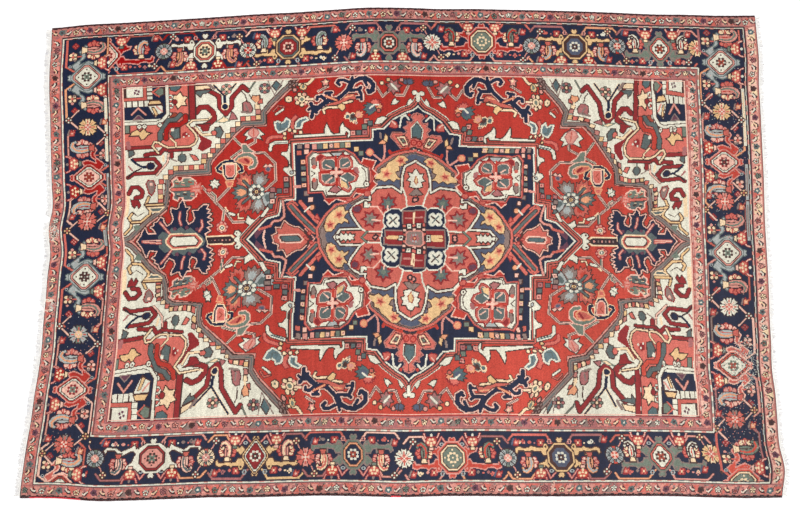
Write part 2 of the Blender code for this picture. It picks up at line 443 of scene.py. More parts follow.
def pocketFlowers(at, reach, number):
    tones = ("coral", "salmon", "ivory", "pink", "rose", "mauve", "cream")
    band(at, disc(13, 20, 2.4, 2.4, 6), ("pink", "silver")[number % 2], 1.1, "navy", 0.6, closed=True)
    rays(at, 24, 18.5, 2.9, 4, 45, 2.1, tones[number % 2], "maroon")
    dot(at, 24, 18.5, 1.3, "cream")
    for k in range(int((reach - 26) // 6)):
        dot(at, 32 + 6.5 * k, 18 + k % 2, (1.5, 2.1)[(k + number) % 2], tones[(k * 3 + number) % 7])
    rays(at, reach * 0.9, 20, 1.8, 4, 0, 1.3, tones[(number + 3) % 7])


def tabFlower(at, wool):
    # a square flower on a short stalk
    line(at, [(0, 0), (0, 6)], "coral", 2.6)
    rays(at, 0, 9, 3.4, 4, 45, 2.4, wool, "umber")
    dot(at, 0, 9, 1.6, "coral")


def palmette(at, look, left, right, bars, number, cup, kind="arm"):
    body, rim, ring, inner, petal, leaf, core, wide, tall, cut = palettes[look]
    for side, reach, (armBar, crabBar) in ((-1, left, bars[:2]), (1, right, bars[2:])):
        half = within(at, 0, 0, 0, (side, 1))
        bar(half, [(cup + 2, -12), (cup + 11.5, -27), (reach + 9, -27), (reach + 16, -19)], crabBar)
        bar(half, [(9, 17), (17, 28.5), (reach + 8, 28.5), (reach + 14, 21)], armBar)
        if cup > 20:
            band(half, [(20, -15), (13.5, -26), (5, -16)], "pink", 1.5, "maroon", 0.58)
            band(half, disc(13, -17, 2.2, 2.2, 6), "silver", 1.1, "navy", 0.6, closed=True)
        if kind == "blade":
            shape(half, [(u * reach / 52, v) for u, v in turtle["blade"]], body, rim, 1.2)
            tabFlower(within(half, 31, 9, 0, (1.2, 1.2)), ("cream", "peach")[number % 2])
            band(half, disc(17, 23, 1.8, 1.8, 5), "silver", 0.9, "navy", 0.5, closed=True)
            rays(half, reach * 0.94, 17, 2.2, 4, 0, 1.8, ("mauve", "coral", "pink")[number % 3], "maroon")
            for u, v, wool in ((30, -13, "pink"), (27, 17, "mauve"), (38, 20, "pink"), (52, -18, "peach")):
                dot(half, u * reach / 52, v, 1.7, wool)
        else:
            pocketFlowers(half, reach, number + side)
            whole = look == "ivory"
            arm = [(u if u < 30 else u + reach - 46, v) for u, v in turtle["wing" if whole else "arm"]]
            shape(half, arm, body, rim, 1.2)
            if not whole:
                shape(half, turtle["horn"], body, rim, 1.1)
            dot(half, 18, 13.5, 1.5, rim)
        grown = 1.22 if kind == "blade" else 1.0
        curledLeaf(within(half, reach * 0.8, 2, 0, (grown, -grown)), leaf, core, number)
        halfFlower(within(half, cup, -19.5, 0, (grown, 1.1)), number + side)
    for flip in (-1, 1):
        shape(within(at, 0, 0, 0, (1, flip)), turtle["finial"], body, rim)
    shape(at, octagon(0, 0, wide + 3, tall + 3.2, cut), body, None if look == "ivory" else rim, 1.2)
    shape(at, octagon(0, 0, wide, tall, cut), ring, "umber", 0.9)
    shape(at, octagon(0, 0, wide - 2.8, tall - 3.2, cut), inner, "umber", 0.9)
    rays(at, 0, 0, 5.8, 8, 22, 1.8, petal)
    rays(at, 0, 0, 3, 4, 45, 2, ("rust", "sage", "umber")[number % 3])
    dot(at, 0, 0, 1.4, petal)
    if wide > 15:
        rays(at, 0, 0, tall - 7.4, 4, 0, 1.2, petal)


# petals, heart and end petals of the round flowers, and how many petals
rosettes = {
    "grey": ("silver", "pink", "sage", 12),
    "ivoryRed": ("ivory", "madder", "coral", 12),
    "ivory": ("ivory", "coral", "ivory", 8),
    "creamRed": ("cream", "brick", "coral", 12),
    "salmon": ("salmon", "peach", "pink", 8),
    "gold": ("gold", "coral", "cream", 8),
    "greyRed": ("coral", "madder", "mauve", 8),
    "greyGold": ("silver", "gold", "sage", 8),
    "mixed": ("silver", "peach", "madder", 12),
}


def rosette(at, look, size=1):
    wool, heart, ends, count = rosettes[look]
    for k in range(count):
        petal = within(at, 0, 0, 360 * k / count, (size, size * (8 / count) ** 0.8))
        tone = ends if k % (count // 2) == count // 4 else wool
        shape(petal, turtle["petal"], tone, "brown", 0.9)
        line(petal, [(5, 0), (8.5, 0)], ("slate", "coral")[count == 8], 1)
    dot(at, 0, 0, 4.4 * size, heart)
    rays(at, 0, 0, 2.8 * size, 4, 45, 1.3 * size, ("peach", "madder")[heart == "peach"])
    dot(at, 0, 0, 1.3 * size, ("ivory", "sage")[heart == "ivory"])


def knob(x, y, wool="ivory"):
    at = placed(x, y)
    rays(at, 0, 0, 2.6, 4, 0, 1.9, wool, "umber")
    dot(at, 0, 0, 1.3, "coral")


# x, y, side of the long arms (1 outwards), left and right reach, palette,
# wools of the bars: left arm side, left other side, right arm side, right other side
farRow = (
    (78, 609, -1, 40, 58, "redPale", ("rose", "rose", "salmon", "coral")),
    (211, 608, 1, 43, 44, "ivoryRed", ("madder", "apricot", "rose", "madder")),
    (325, 607, -1, 42, 54, "gold", ("coral", "peach", "rose", "salmon")),
    (463, 606, 1, 45, 44, "sageRed", ("rose", "rose", "rose", "pink")),
    (590, 610, -1, 52, 50, "red", ("pink", "salmon", "pink", "salmon")),
    (717, 605, 1, 46, 45, "goldBlue", ("rose", "apricot", "apricot", "pink")),
    (833, 606, -1, 42, 36, "sagePale", ("pink", "rose", "salmon", "pink")),
)
nearRow = (
    (163, 51, -1, 54, 54, "ivory", ("coral", "rose", "pink", "apricot")),
    (295, 50, 1, 45, 49, "goldPointed", ("rose", "apricot", "gold", "rose")),
    (420, 50, -1, 48, 45, "sage", ("coral", "rose", "peach", "pink")),
    (547, 46, 1, 46, 56, "red", ("pink", "peach", "apricot", "rose")),
    (685, 47, -1, 52, 46, "goldBlue", ("salmon", "apricot", "rose", "rose")),
    (813, 48, 1, 46, 50, "sagePale", ("apricot", "coral", "pink", "pink")),
)
leftRow = (
    (49, 10, 1, 20, 45, "faded", ("peach", "pink", "peach", "coral")),
    (49, 140, -1, 50, 52, "redPale", ("peach", "pink", "coral", "pink")),
    (50, 293, 1, 54, 52, "silver", ("coral", "pink", "salmon", "coral")),
    (51, 433, -1, 52, 52, "redPale", ("coral", "peach", "salmon", "pink")),
    (51, 579, 1, 52, 50, "silver", ("apricot", "ivory", "coral", "apricot")),
)
rightRow = (
    (916, 16, -1, 20, 55, "red", ("peach", "pink", "coral", "rose")),
    (917, 168, 1, 52, 54, "faded", ("pink", "rose", "peach", "mauve")),
    (915, 319, -1, 54, 52, "silver", ("pink", "coral", "coral", "rose")),
    (915, 445, 1, 48, 52, "redPale", ("rose", "apricot", "apricot", "pink")),
    (916, 588, -1, 52, 46, "silver", ("apricot", "pink", "rose", "salmon")),
)
# x, y, look
roundFlowers = (
    (155, 611, "grey"), (270, 605, "ivoryRed"), (401, 608, "salmon"), (522, 608, "ivory"),
    (658, 605, "grey"), (775, 608, "mixed"), (884, 608, "gold"), (90, 52, "grey"), (232, 49, "creamRed"),
    (359, 47, "salmon"), (485, 46, "ivory"), (617, 46, "grey"), (754, 50, "mixed"), (878, 53, "gold"),
)
sideFlowers = (
    (51, 505, "gold"), (51, 370, "salmon"), (48, 214, "greyGold"), (48, 68, "greyRed"),
    (915, 517, "gold"), (914, 390, "salmon"), (914, 246, "ivory"), (913, 98, "greyRed"),
)


def tulip(x, y, wool, leaf):
    at = placed(x, y)
    line(at, [(-5, -3), (-3, 4)], leaf, 2.6)
    shape(at, [(-3, -4), (3, -4), (5, 4), (1.5, 2), (0, 5), (-2, 2)], wool, "maroon", 0.9)
    dot(at, 0.5, -0.5, 1.2, "peach")


def mainBorder():
    for k, (x, y, arms, left, right, look, bars) in enumerate(farRow):
        palmette(placed(x, y, 0, (1, arms)), look, left, right, bars, k, 18.5)
    for k, (x, y, arms, left, right, look, bars) in enumerate(nearRow):
        palmette(placed(x, y, 0, (1, -arms)), look, left, right, bars, k + 1, 26.5)
    for k, (x, y, look) in enumerate(roundFlowers):
        slant = 1 if k % 2 else -1
        for side in (-1, 1):
            dx, wool = side * slant * 12, ("coral", "salmon")[side > 0]
            line(straight, [(x, y), (x - side * slant * 13, y + side * 21)], "pink", 1.4)
            knob(x - dx, y + side * 21, ("ivory", "cream")[k % 2])
            tulip(x + dx, y + side * 20, wool, ("mauve", "blue")[k % 2])
        rosette(placed(x, y), look, 1.1)
    # the side borders run the whole way and cut the far and near rows
    fill(straight, box(18, 18, 80, 638), "navy")
    fill(straight, box(889, 18, 949, 638), "navy")
    for k, (x, y, arms, left, right, look, bars) in enumerate(leftRow):
        palmette(placed(x, y, 90, (1, arms)), look, left, right, bars, k, 20, "blade")
    for k, (x, y, arms, left, right, look, bars) in enumerate(rightRow):
        palmette(placed(x, y, 90, (1, -arms)), look, left, right, bars, k + 2, 20, "blade")
    # wide pale bars against the inner line on the left and the outer one on the right
    for x, low, high, wool in (
        (76.5, 457, 545, "ivory"), (77, 382, 436, "silver"), (76.5, 338, 362, "silver"),
        (945, 470, 548, "ivory"), (945, 394, 440, "silver"), (945, 338, 388, "silver"),
    ):
        line(straight, [(x, low), (x, high)], "umber", 6.4)
        line(straight, [(x, low), (x, high)], wool, 4.6)
        line(straight, [(x, low + 3), (x, high - 3)], "mauve" if wool == "silver" else "cream", 1.2)
    for k, (x, y, look) in enumerate(sideFlowers):
        slant = 12 if k % 2 else -12
        for side in (-1, 1):
            at = placed(x, y, 0, (side, side))
            for reach in (-13, 14):
                band(at, [(26, slant), (12, slant + reach)], "peach", 1.6, "umber", 0.54)
            knob(x + side * 26, y + side * slant, ("ivory", "gold")[k % 2])
            tulip(x + side * 22, y - side * slant * 0.6, ("coral", "apricot")[side > 0], "mauve")
        rosette(placed(x, y), look, 1.15)


def borderLines():
    lines(lay["edge"], ((0.7, 1.5, "umber"), (2.2, 1.2, "brick")))
    lines(lay["outer"], ((-1.9, 1.3, "brown"), (-0.6, 1.5, "ivory"), (1, 1.4, "brown")))
    lines(lay["inner"], ((-1.4, 1.2, "brown"), (0.2, 1.5, "ivory"), (1.8, 1.2, "umber"), (3.2, 1.2, "rose")))
    lines(lay["field"], ((-2.6, 1.5, "rose"), (-0.8, 1.3, "maroon"), (0.9, 1.3, "peach")))
    # the pale lines are worn and broken
    for x0, y0, x1, y1 in (lay["outer"], lay["inner"]):
        for x in range(int(x0) + 6, int(x1) - 6, 14):
            for y in (y0, y1):
                line(straight, [(x, y), (x + 2 + x % 4, y)], ("pink", "silver", "pink")[x % 3])
        for y in range(int(y0) + 6, int(y1) - 6, 14):
            for x in (x0, x1):
                line(straight, [(x, y), (x, y + 2 + y % 4)], ("pink", "silver", "pink")[y % 3])
    for x in range(3, 960, 9):
        for y in (1, 655):
            line(straight, [(x, y), (x + 2 + x % 4, y)], ("brown", "brick", "sage")[x % 3], 1.4)


# places with pale knots in the pile: worn spots, and two patches on fold creases; each as x, y, reach, share
# of the knots, wools
paleKnots = (
    # on a fold crease at the left edge
    (5, 356, 9, 11, 0.5, ("ivory", "peach", "silver")),
    (4, 262, 9, 2, 0.8, ("ivory", "peach")),
    (3, 248, 5, 2, 0.8, ("ivory", "pink")),
    (11, 254, 6, 5, 0.4, ("silver", "pink")),
    # on a crease across the near guard
    (676, 8, 2, 9, 0.7, ("peach", "pink")),
    (934, 172, 17, 34, 0.2, ("silver", "ivory", "slate")),
    (918, 110, 32, 90, 0.06, ("silver", "mauve", "pink")),
    (917, 480, 32, 150, 0.03, ("silver", "mauve", "pink")),
    (50, 180, 30, 160, 0.015, ("silver", "mauve", "pink")),
)


def addPaleKnots():
    rng = np.random.default_rng(3)
    for x, y, rx, ry, share, names in paleKnots:
        part, gx, gy = window(np.array([(x - rx, y - ry), (x + rx, y + ry)], float))
        near = ((gx - x) / rx) ** 2 + ((gy - y) / ry) ** 2 < 1
        pale = rng.choice([woolNumber[name] for name in names], near.shape)
        picked = near & (rng.uniform(0, 1, near.shape) < share)
        chart[part][picked] = pale[picked]


# the field is drawn once, in the far left quarter's own chart places, and turned over for the others
fold = {
    # the middle lines, as places they pass through
    "upright": ((489, 100), (489, 141), (489.5, 230), (492.5, 333), (497, 450), (501, 520), (502, 560)),
    "level": (
        (96, 341.5), (135, 341), (180, 338.5), (262, 336.5), (322, 335.5), (492.5, 333), (600, 332),
        (714, 330.5), (790, 331.5), (853, 333.5), (870, 333.5),
    ),
    # where a place in the far left quarter falls in each of the others, and its first column below
    "columns": {"farRight": 2, "nearLeft": 4, "nearRight": 6},
    # x and y in the far left, far right, near left and near right quarters
    "strays": (
        (112, 341.5, 853, 333.5, 112, 341.5, 853, 333.5), (180, 338.5, 792, 331.5, 180, 338.5, 792, 331.5),
        (212, 337, 767, 330.5, None, None, 767, 330.5), (248, 337, 730, 330.5, None, None, 730, 330.5),
        (262, 336.5, 714, 330.5, 262, 336.5, 714, 330.5), (388, 334.5, 600, 332, 388, 334.5, 600, 332),
        (98, 341.5, 868, 333.5, 98, 341.5, 868, 333.5), (492.5, 333, 492.5, 333, 492.5, 333, 492.5, 333),
        (466, 357, 521.5, 359, 462, 309, 520, 305), (388, 425, 602, 418, 385.5, 245, 597, 244),
        (327, 471, 660, 463, 328, 197, 652, 195), (433, 471, 560, 463, 427, 197, 552, 195),
        (501, 518, 501, 518, 489, 143, 489, 143), (502, 560, 502, 558, 489, 100.5, 489, 100.5),
        (311, 400, 672, 389, 313, 273, None, None), (443, 541, 566, 538, 436, 124, 550, 122),
        (357, 505, 647, 498, 352, 159, 638, 155), (395, 550, 614, 551, 380, 113, 602, 111),
        (328, 490, 664, 479, 326, 178, 661, 181), (325, 532, 678, 523, 313, 142, 671, 137),
        (290, 514, 703, 511, 281, 160, 703, 152), (262, 497, 729, 493, 252, 180, 724, 177),
        (217, 453, 766, 438, 210, 220, 769, 226), (212, 433, 769, 410, 206, 254, 770, 251),
        (168, 433, 802, 410, 169, 254, 803, 252), (152, 384, 815, 371, 154, 291, 814, 289),
        (158, 513, 825, 499, 154, 164, 820, 158), (197, 508, 795, 500, 190, 159, 788, 161),
        (197, 477, 780, 454, 193, 202, 782, 206), (175, 537, 809, 530, 172, 131, 804, 130),
        (124, 492, 847, 476, 119, 187, 842, 181), (238, 513, 759, 495, 235, 172, 749, 166),
        (242, 433, 742, 419, 237, 238, 744, 240), (277, 402, 705, 387, 268, 270, 707, 269),
        (172, 394, 799, 374, 178, 290, 799, 286), (207, 387, 767, 373, 210, 294, 768, 291),
        (100, 560, 867, 558, 100, 100.5, 867, 100.5), (197, 560, 798, 557, 193, 103, 786, 101),
        (328, 553, 674, 550, 324, 110, 660, 108), (130, 541, 842, 541, 126, 124, 842, 122),
        (100, 474, 866, 456, 100, 204, 866, 200), (135, 446, 836, 427, 137, 239, 842, 231),
        (115, 412, 848, 400, None, None, 851, 264), (226, 435, 757, 421, 219, 232, None, None),
        (258, 435, 726, 421, 250, 233, None, None), (242, 446, 741, 433, 235, 224, 743, 229),
        (242, 421, 742, 406, 234, 249, 743, 254), (262, 464, 724, 446, 262, 212, 716, 210),
        (277, 443, 705, 424, 271, 235, 704, 236), (276, 484, 707, 473, 281, 198, 703, 193),
        (199, 485, 781, 470, 189, 190, 781, 192), (204, 526, 785, 517, 205, 147, None, None),
        (222, 514, 772, 508, 221, 161, None, None), (216, 501, 778, 496, 211, 172, None, None),
        (210, 468, 771, 452, 199, 207, 772, 212), (231, 524, 767, 506, 226, 162, 757, 158),
        (247, 524, 751, 506, 241, 162, 740, 158), (230, 541, 770, 528, 226, 142, 758, 138),
        (248, 537, 748, 524, 245, 137, 739, 138), (216, 553, 784, 548, 207, 121, 772, 112),
        (263, 553, 733, 548, 264, 106, 712, 105), (290, 497, None, None, 279, 180, 703, 173),
        (224, 557, None, None, 207, 118, 759, 114), (241, 550, None, None, 234, 117, 732, 115),
        (254, 557, None, None, 257, 105, None, None), (270, 546, None, None, 271, 115, None, None),
        (293, 548, None, None, 287, 116, 684, 117), (238, 540, None, None, 228, 143, None, None),
        (327, 394, None, None, None, None, 652, 279), (178, 412, None, None, None, None, 792, 272),
        (209, 527, None, None, None, None, 775, 143), (222, 512, None, None, None, None, 763, 154),
        (227, 436, None, None, None, None, 758, 239), (258, 436, None, None, None, None, 729, 239),
    ),
}


def kernel(a, b):
    gap = np.sum((a[:, None, :] - b[None, :, :]) ** 2, axis=2)
    return gap * np.log(gap + 1e-6)


def strayed(name):
    # a smooth bending of the chart that takes every place in the table to its strayed place
    if name is None:
        return straight
    column = fold["columns"][name]
    table = np.array(fold["strays"], float)
    table = table[~np.isnan(table[:, column])]
    here, there = table[:, :2] / 100, table[:, column : column + 2]
    count = len(here)
    flat = np.hstack([np.ones((count, 1)), here])
    whole = np.zeros((count + 3, count + 3))
    whole[:count, :count] = kernel(here, here) + 0.02 * np.eye(count)
    whole[:count, count:] = flat
    whole[count:, :count] = flat.T
    weights = np.linalg.solve(whole, np.vstack([there, np.zeros((3, 2))]))

    def at(points):
        p = np.asarray(points, float) / 100
        return kernel(p, here) @ weights[:count] + np.hstack([np.ones((len(p), 1)), p]) @ weights[count:]

    return at


def squares(at, places, size, tones, edge="umber"):
    for k, (x, y) in enumerate(places):
        half = size / 2
        shape(at, box(x - half, y - half, x + half, y + half), tones[k % len(tones)], edge, 0.9)


def star(at, x, y, r, points, wool, edge=None, inner=0.55, start=90, width=1.2):
    turn = np.radians(start + np.arange(points * 2) * 180 / points)
    reach = np.where(np.arange(points * 2) % 2 == 0, r, r * inner)
    shape(at, np.stack([x + reach * np.cos(turn), y + reach * np.sin(turn)], axis=1), wool, edge, width)


def band(at, points, wool, width, edge="umber", rim=1, closed=False):
    # a ribbon with a rim on both sides
    line(at, points, edge, width + 2 * rim * outline, closed)
    line(at, points, wool, width, closed)


spandrel = {
    "band": [
        (340, 566), (328, 552), (300, 526), (290, 514), (290, 499), (262, 499), (250, 489), (217, 453),
        (213, 446), (213, 434), (168, 434), (158, 426), (155, 400), (153, 386), (146, 379), (134, 370),
        (122, 358), (110, 347), (96, 341),
    ],
    # middles of the small squares along the stepped band
    "squares": (
        (147, 395), (147, 402), (147, 409), (147, 416), (149, 423), (155, 429), (162, 436), (169, 441),
        (176, 441), (183, 441), (190, 441), (197, 441), (204, 441), (207, 449), (208, 456), (216, 457),
        (220, 463), (227, 469), (234, 476), (241, 483), (248, 491), (255, 499), (262, 506), (269, 506),
        (276, 506), (283, 507), (283, 515), (282, 522), (286, 530),
    ),
}


def drawSpandrel(at):
    fill(at, [(90, 570), (340, 570)] + spandrel["band"][1:] + [(90, 338)], "ivory")
    band(at, [(x + 2.8, y - 4) for x, y in spandrel["band"]], "pink", 1.9, "umber", 0.65)
    band(at, spandrel["band"], "mauve", 5.2)
    line(at, spandrel["band"], "slate", 1.2)
    squares(at, spandrel["squares"], 6.2, ("salmon", "gold", "brick", "cream", "coral", "cream"))
    rays(at, 332, 552, 5, 5, 0, 2.4, "mauve", "umber")
    # pale forked strips where the band meets the side
    for points in (
        [(103, 352), (111, 360), (112, 368), (107, 374), (110, 380)],
        [(112, 368), (124, 368), (135, 378), (134, 384), (127, 392), (131, 402)],
        [(128, 391), (150, 391)],
    ):
        band(at, points, "gold", 2.6)
    shape(at, [(131, 387), (152, 387), (147, 381), (138, 381)], "slate", "cream", 1.2)
    fill(at, [(114, 363), (121, 364), (125, 361), (118, 355)], "sage")
    fill(at, box(99, 376, 105, 410), "cream")
    line(at, [(110, 383), (118, 376), (127, 381)], "umber", 1.1)
    # maroon scrolls
    hook = [(199, 519), (204, 526), (214, 526), (222, 517), (223, 508), (216, 502), (208, 499)]
    for points, width in (
        (hook, 6),
        ([(104, 408), (109, 417), (117, 417), (123, 410), (121, 403), (113, 402)], 4.6),
        ([(104, 431), (112, 436), (140, 436), (148, 446), (140, 456), (112, 456)], 4),
        ([(128, 462), (140, 464), (148, 463), (154, 470), (164, 465), (164, 458)], 4.6),
    ):
        band(at, points, "maroon", width, "umber", 0.9)
    line(at, [(200, 508), (213, 508), (219, 512)], "cream", 2.4)
    leaf = [
        (190, 500), (198, 497), (206, 485), (219, 477), (218, 469), (206, 463), (199, 467), (204, 478),
        (200, 488),
    ]
    fill(at, leaf, "maroon")
    shape(at, [(197, 502), (218, 502), (215, 492), (207, 491), (204, 498)], "maroon", "umber", 0.9)
    shape(at, [(106, 400), (117, 399), (121, 391), (118, 386), (115, 392), (112, 387), (108, 392)],
          "maroon", "umber", 0.9)
    line(at, [(109, 457), (116, 450), (124, 445), (132, 445)], "navy", 3)
    line(at, [(104, 431), (112, 439), (122, 443)], "brown", 2.2)
    shape(at, disc(135, 446, 5.6, 5.2, 8), "navy")
    band(at, [(160, 462), (158, 450), (151, 442), (143, 433)], "peach", 2.2, "umber", 0.62)
    line(at, [(152, 460), (153, 452)], "cream", 3)
    # the forked stem and its red cup
    cup = [(216, 550), (230, 541), (231, 524), (239, 514), (247, 524), (248, 537), (263, 553), (270, 546)]
    band(at, cup, "maroon", 4.8)
    band(at, [(224, 557), (238, 540), (254, 557)], "navy", 2.6, "cream", 0.54)
    line(at, [(238, 540), (238, 526)], "navy", 4)
    dot(at, 238, 525, 4.8, "navy", "cream", 1)
    shape(at, [(243, 505), (255, 506), (251, 513), (247, 518)], "rose")
    for x, y, wool in ((241, 550, "sage"), (293, 548, "rose")):
        spot = placed(*at([(x, y)])[0])
        rays(spot, 0, 0, 5.6, 8, 0, 2.9, "umber")
        rays(spot, 0, 0, 5.5, 4, 0, 1.9, wool)
        rays(spot, 0, 0, 5.5, 4, 45, 1.9, "pink" if x < 250 else "slate")
        dot(spot, 0, 0, 2.4, "cream", "umber", 0.8)
    shape(at, [(262, 514), (262, 529), (266, 531), (272, 529), (276, 520), (274, 514), (267, 517)], "rose")
    line(at, [(260, 516), (272, 514)], "mauve", 3)
    line(at, [(266, 526), (269, 518)], "mauve", 2.4)
    line(at, [(268, 532), (266, 540), (262, 545)], "umber", 1.6)
    line(at, [(271, 541), (276, 532)], "umber", 1.2)
    shape(at, [(274, 534), (276, 539), (281, 538), (286, 539), (286, 532), (281, 527)], "apricot")
    line(at, [(281, 528), (280, 523)], "cream", 2.4)
    shape(at, [(309, 559), (303, 551), (309, 543), (316, 551)], "teal", "umber", 1.2)
    line(at, [(298, 558), (306, 538), (318, 558)], "mauve", 1.6)
    band(at, [(280, 558), (272, 547)], "sage", 1.4, "umber", 0.54)
    # flowers between the scrolls and the squares
    shape(at, [(224, 496), (231, 497), (235, 489), (231, 480), (225, 482), (221, 489)], "slate", "umber",
          1.1)
    shape(at, disc(222, 488, 4.4, 4.2, 6), "salmon")
    band(at, [(197, 498), (205, 487), (218, 486)], "cream", 3, "umber", 0.54)
    line(at, [(222, 503), (234, 509), (244, 503)], "umber", 1.2)
    shape(at, [(224, 504), (231, 507), (236, 511), (244, 505), (236, 502)], "cream", "sage")
    shape(at, disc(178, 455, 6, 6.4, 7), "slate")
    line(at, [(178, 461), (178, 467)], "sage", 2)
    shape(at, [(188, 460), (196, 458), (201, 451), (194, 450)], "salmon")
    line(at, [(160, 456), (170, 451)], "mauve", 1.6)
    shape(at, [(128, 421), (131, 426), (138, 425), (141, 418), (139, 410), (135, 404), (131, 408)], "mauve",
          "maroon", 1.3)
    dot(at, 135, 420, 2.4, "peach")
    shape(at, [(106, 459), (105, 470), (112, 470), (114, 464)], "slate")
    line(at, [(105, 447), (110, 441)], "rose", 2.4)
    shape(at, [(197, 551), (197, 558), (215, 558), (220, 553), (212, 552)], "cream")
    shape(at, [(197, 550), (222, 551), (214, 546), (208, 545), (206, 540), (200, 545)], "slate")
    line(at, [(218, 558), (224, 552)], "mauve", 3.6)


def cornerPanel(at):
    ground = [
        (100, 508), (160, 508), (163, 518), (163, 564), (190, 564), (190, 520), (186, 503), (196, 488),
        (197, 477), (190, 472), (100, 472),
    ]
    fill(at, ground, "salmon")
    fill(at, box(190, 508, 197.5, 566), "maroon")
    line(at, [(189, 566), (189, 509)], "umber", 1.2)
    line(at, [(198, 566), (198, 509)], "umber", 1.2)
    band(at, [(101, 473), (136, 473)], "maroon", 4.4, "umber", 0.9)
    line(at, [(105, 480), (106, 474)], "rose", 6)
    cord = [
        (214, 508), (193, 508), (186, 502), (197, 489), (199, 481), (196, 475), (189, 471), (160, 471),
        (153, 474), (147, 479), (141, 480), (138, 474), (146, 464),
    ]
    band(at, cord, "cream", 2.2)
    band(at, [(160, 466), (190, 467)], "maroon", 3, "umber", 0.8)
    # leaves and beasts on the salmon ground
    shape(at, disc(168, 516, 6.4, 5, 7), "rust")
    band(at, [(149, 484), (149, 492), (155, 501), (160, 510), (171, 511), (177, 517)], "slate", 5.4)
    band(at, [(157, 484), (158, 496), (163, 503), (176, 503), (184, 508), (184, 515)], "madder", 5.4,
         "umber", 0.9)
    shape(at, [(165, 497), (176, 499), (176, 484), (168, 482), (163, 490)], "slate", "umber", 1.1)
    dot(at, 166, 496, 2.4, "ivory")
    band(at, [(163, 484), (170, 477), (170, 472)], "cream", 1.8, "umber", 0.54)
    shape(at, disc(162, 519, 4.2, 3, 6), "ivory", "umber", 0.9)
    star(at, 176, 538, 13, 6, "cream", "umber", 0.62, 80)
    dot(at, 170, 536, 3.6, "maroon", "umber", 0.8)
    shape(at, [(163, 560), (165, 553), (172, 551), (179, 556), (179, 562)], "teal")
    for y in (531, 543):
        band(at, disc(164, y, 3.4, 3.2, 7), "ivory", 1.8, "umber", 0.7)
    shape(at, [(178, 484), (179, 491), (184, 493), (189, 489), (185, 484)], "maroon", "coral", 0.9)
    for x, y in ((181, 485), (185, 489), (188, 486)):
        dot(at, x, y, 1.2, "ivory")
    bird = [
        (107, 490), (111, 496), (118, 499), (122, 496), (127, 501), (131, 495), (138, 493), (132, 490),
        (128, 485), (123, 484), (120, 490),
    ]
    shape(at, bird, "gold", "umber", 1.2)
    shape(at, box(101, 494, 108, 506), "sage", "umber", 0.9)
    # the navy square with its stepped ivory corner
    fill(at, box(100, 513, 158, 566), "navy")
    edge = [(160, 566), (160, 519), (152, 510), (144, 507), (100, 508)]
    band(at, edge, "ivory", 3.8, "umber", 0.9)
    for x, y in ((121, 503), (128, 503), (149, 504)):
        dot(at, x, y, 3.4, "ivory", "umber", 0.9)
        dot(at, x, y + 0.5, 1.1, "umber")
    fill(at, box(100, 532, 140, 566), "ivory")
    for k in range(5):
        line(at, [(104 + 8 * k, 531), (104 + 8 * k, 540)], "umber", 1.3)
        line(at, [(141, 541 + 6 * k), (132, 541 + 6 * k)], "umber", 1.2)
    fill(at, box(100, 540, 133, 566), "umber")
    fill(at, box(100, 541, 132, 566), "coral")
    fill(at, box(100, 545, 128, 566), "umber")
    fill(at, box(105, 546, 127, 566), "ivory")
    rays(at, 119, 553, 3, 4, 20, 1.7, "plum")
    band(at, [(111, 521), (120, 530), (130, 520)], "pink", 2.4, "umber", 0.7)
    shape(at, [(112, 513), (120, 520), (128, 513)], "plum", "mauve")
    shape(at, [(133, 534), (137, 540), (149, 540), (153, 534)], "gold")
    shape(at, [(133, 533), (138, 523), (143, 515), (147, 519), (154, 522), (153, 533)], "ivory")
    shape(at, [(138, 530), (143, 517), (147, 519), (142, 530)], "gold", "umber", 0.8)
    line(at, [(145, 531), (152, 524)], "pink", 2.4)
    shape(at, [(143, 552), (149, 558), (156, 557), (156, 548), (149, 545)], "sage", "umber", 1.2)
    line(at, [(149, 558), (140, 552), (149, 545)], "coral", 2)


pendant = {
    "crown": [
        (118.5, 341), (124.5, 348), (127, 354), (130.5, 359), (132, 354), (134, 350.5), (145, 350.5),
        (142, 357), (138, 359.5), (143.5, 362), (142, 365), (147, 367), (149.5, 372.5), (153.5, 371),
        (155, 365.5), (160, 359.5), (166, 363.5), (168, 369.5), (166.5, 374.5), (163.5, 379.5),
        (162.5, 385), (170, 382.5), (173, 385), (173.5, 391), (177.5, 396), (179, 390), (181.5, 384.5),
        (187, 385), (183.5, 379), (185, 374), (185, 367), (188.8, 361), (195, 364), (197, 369.3),
        (195, 374.4), (192.5, 380), (199, 379.5), (201.5, 383.5), (206, 387.5), (212, 387), (210, 381.5),
        (215, 379.5), (212, 375.5), (218, 374), (213.5, 369.5), (220, 366), (213, 363), (220, 357.5),
        (213, 356), (217.5, 351), (210, 347.5), (211, 343), (211, 330), (118.5, 330),
    ],
    "veins": (
        [(175, 379), (176, 368), (179, 361)], [(150, 366), (156, 359), (163, 350)],
        [(206, 366), (208, 358), (203, 351)], [(126, 341), (150, 341)],
    ),
}


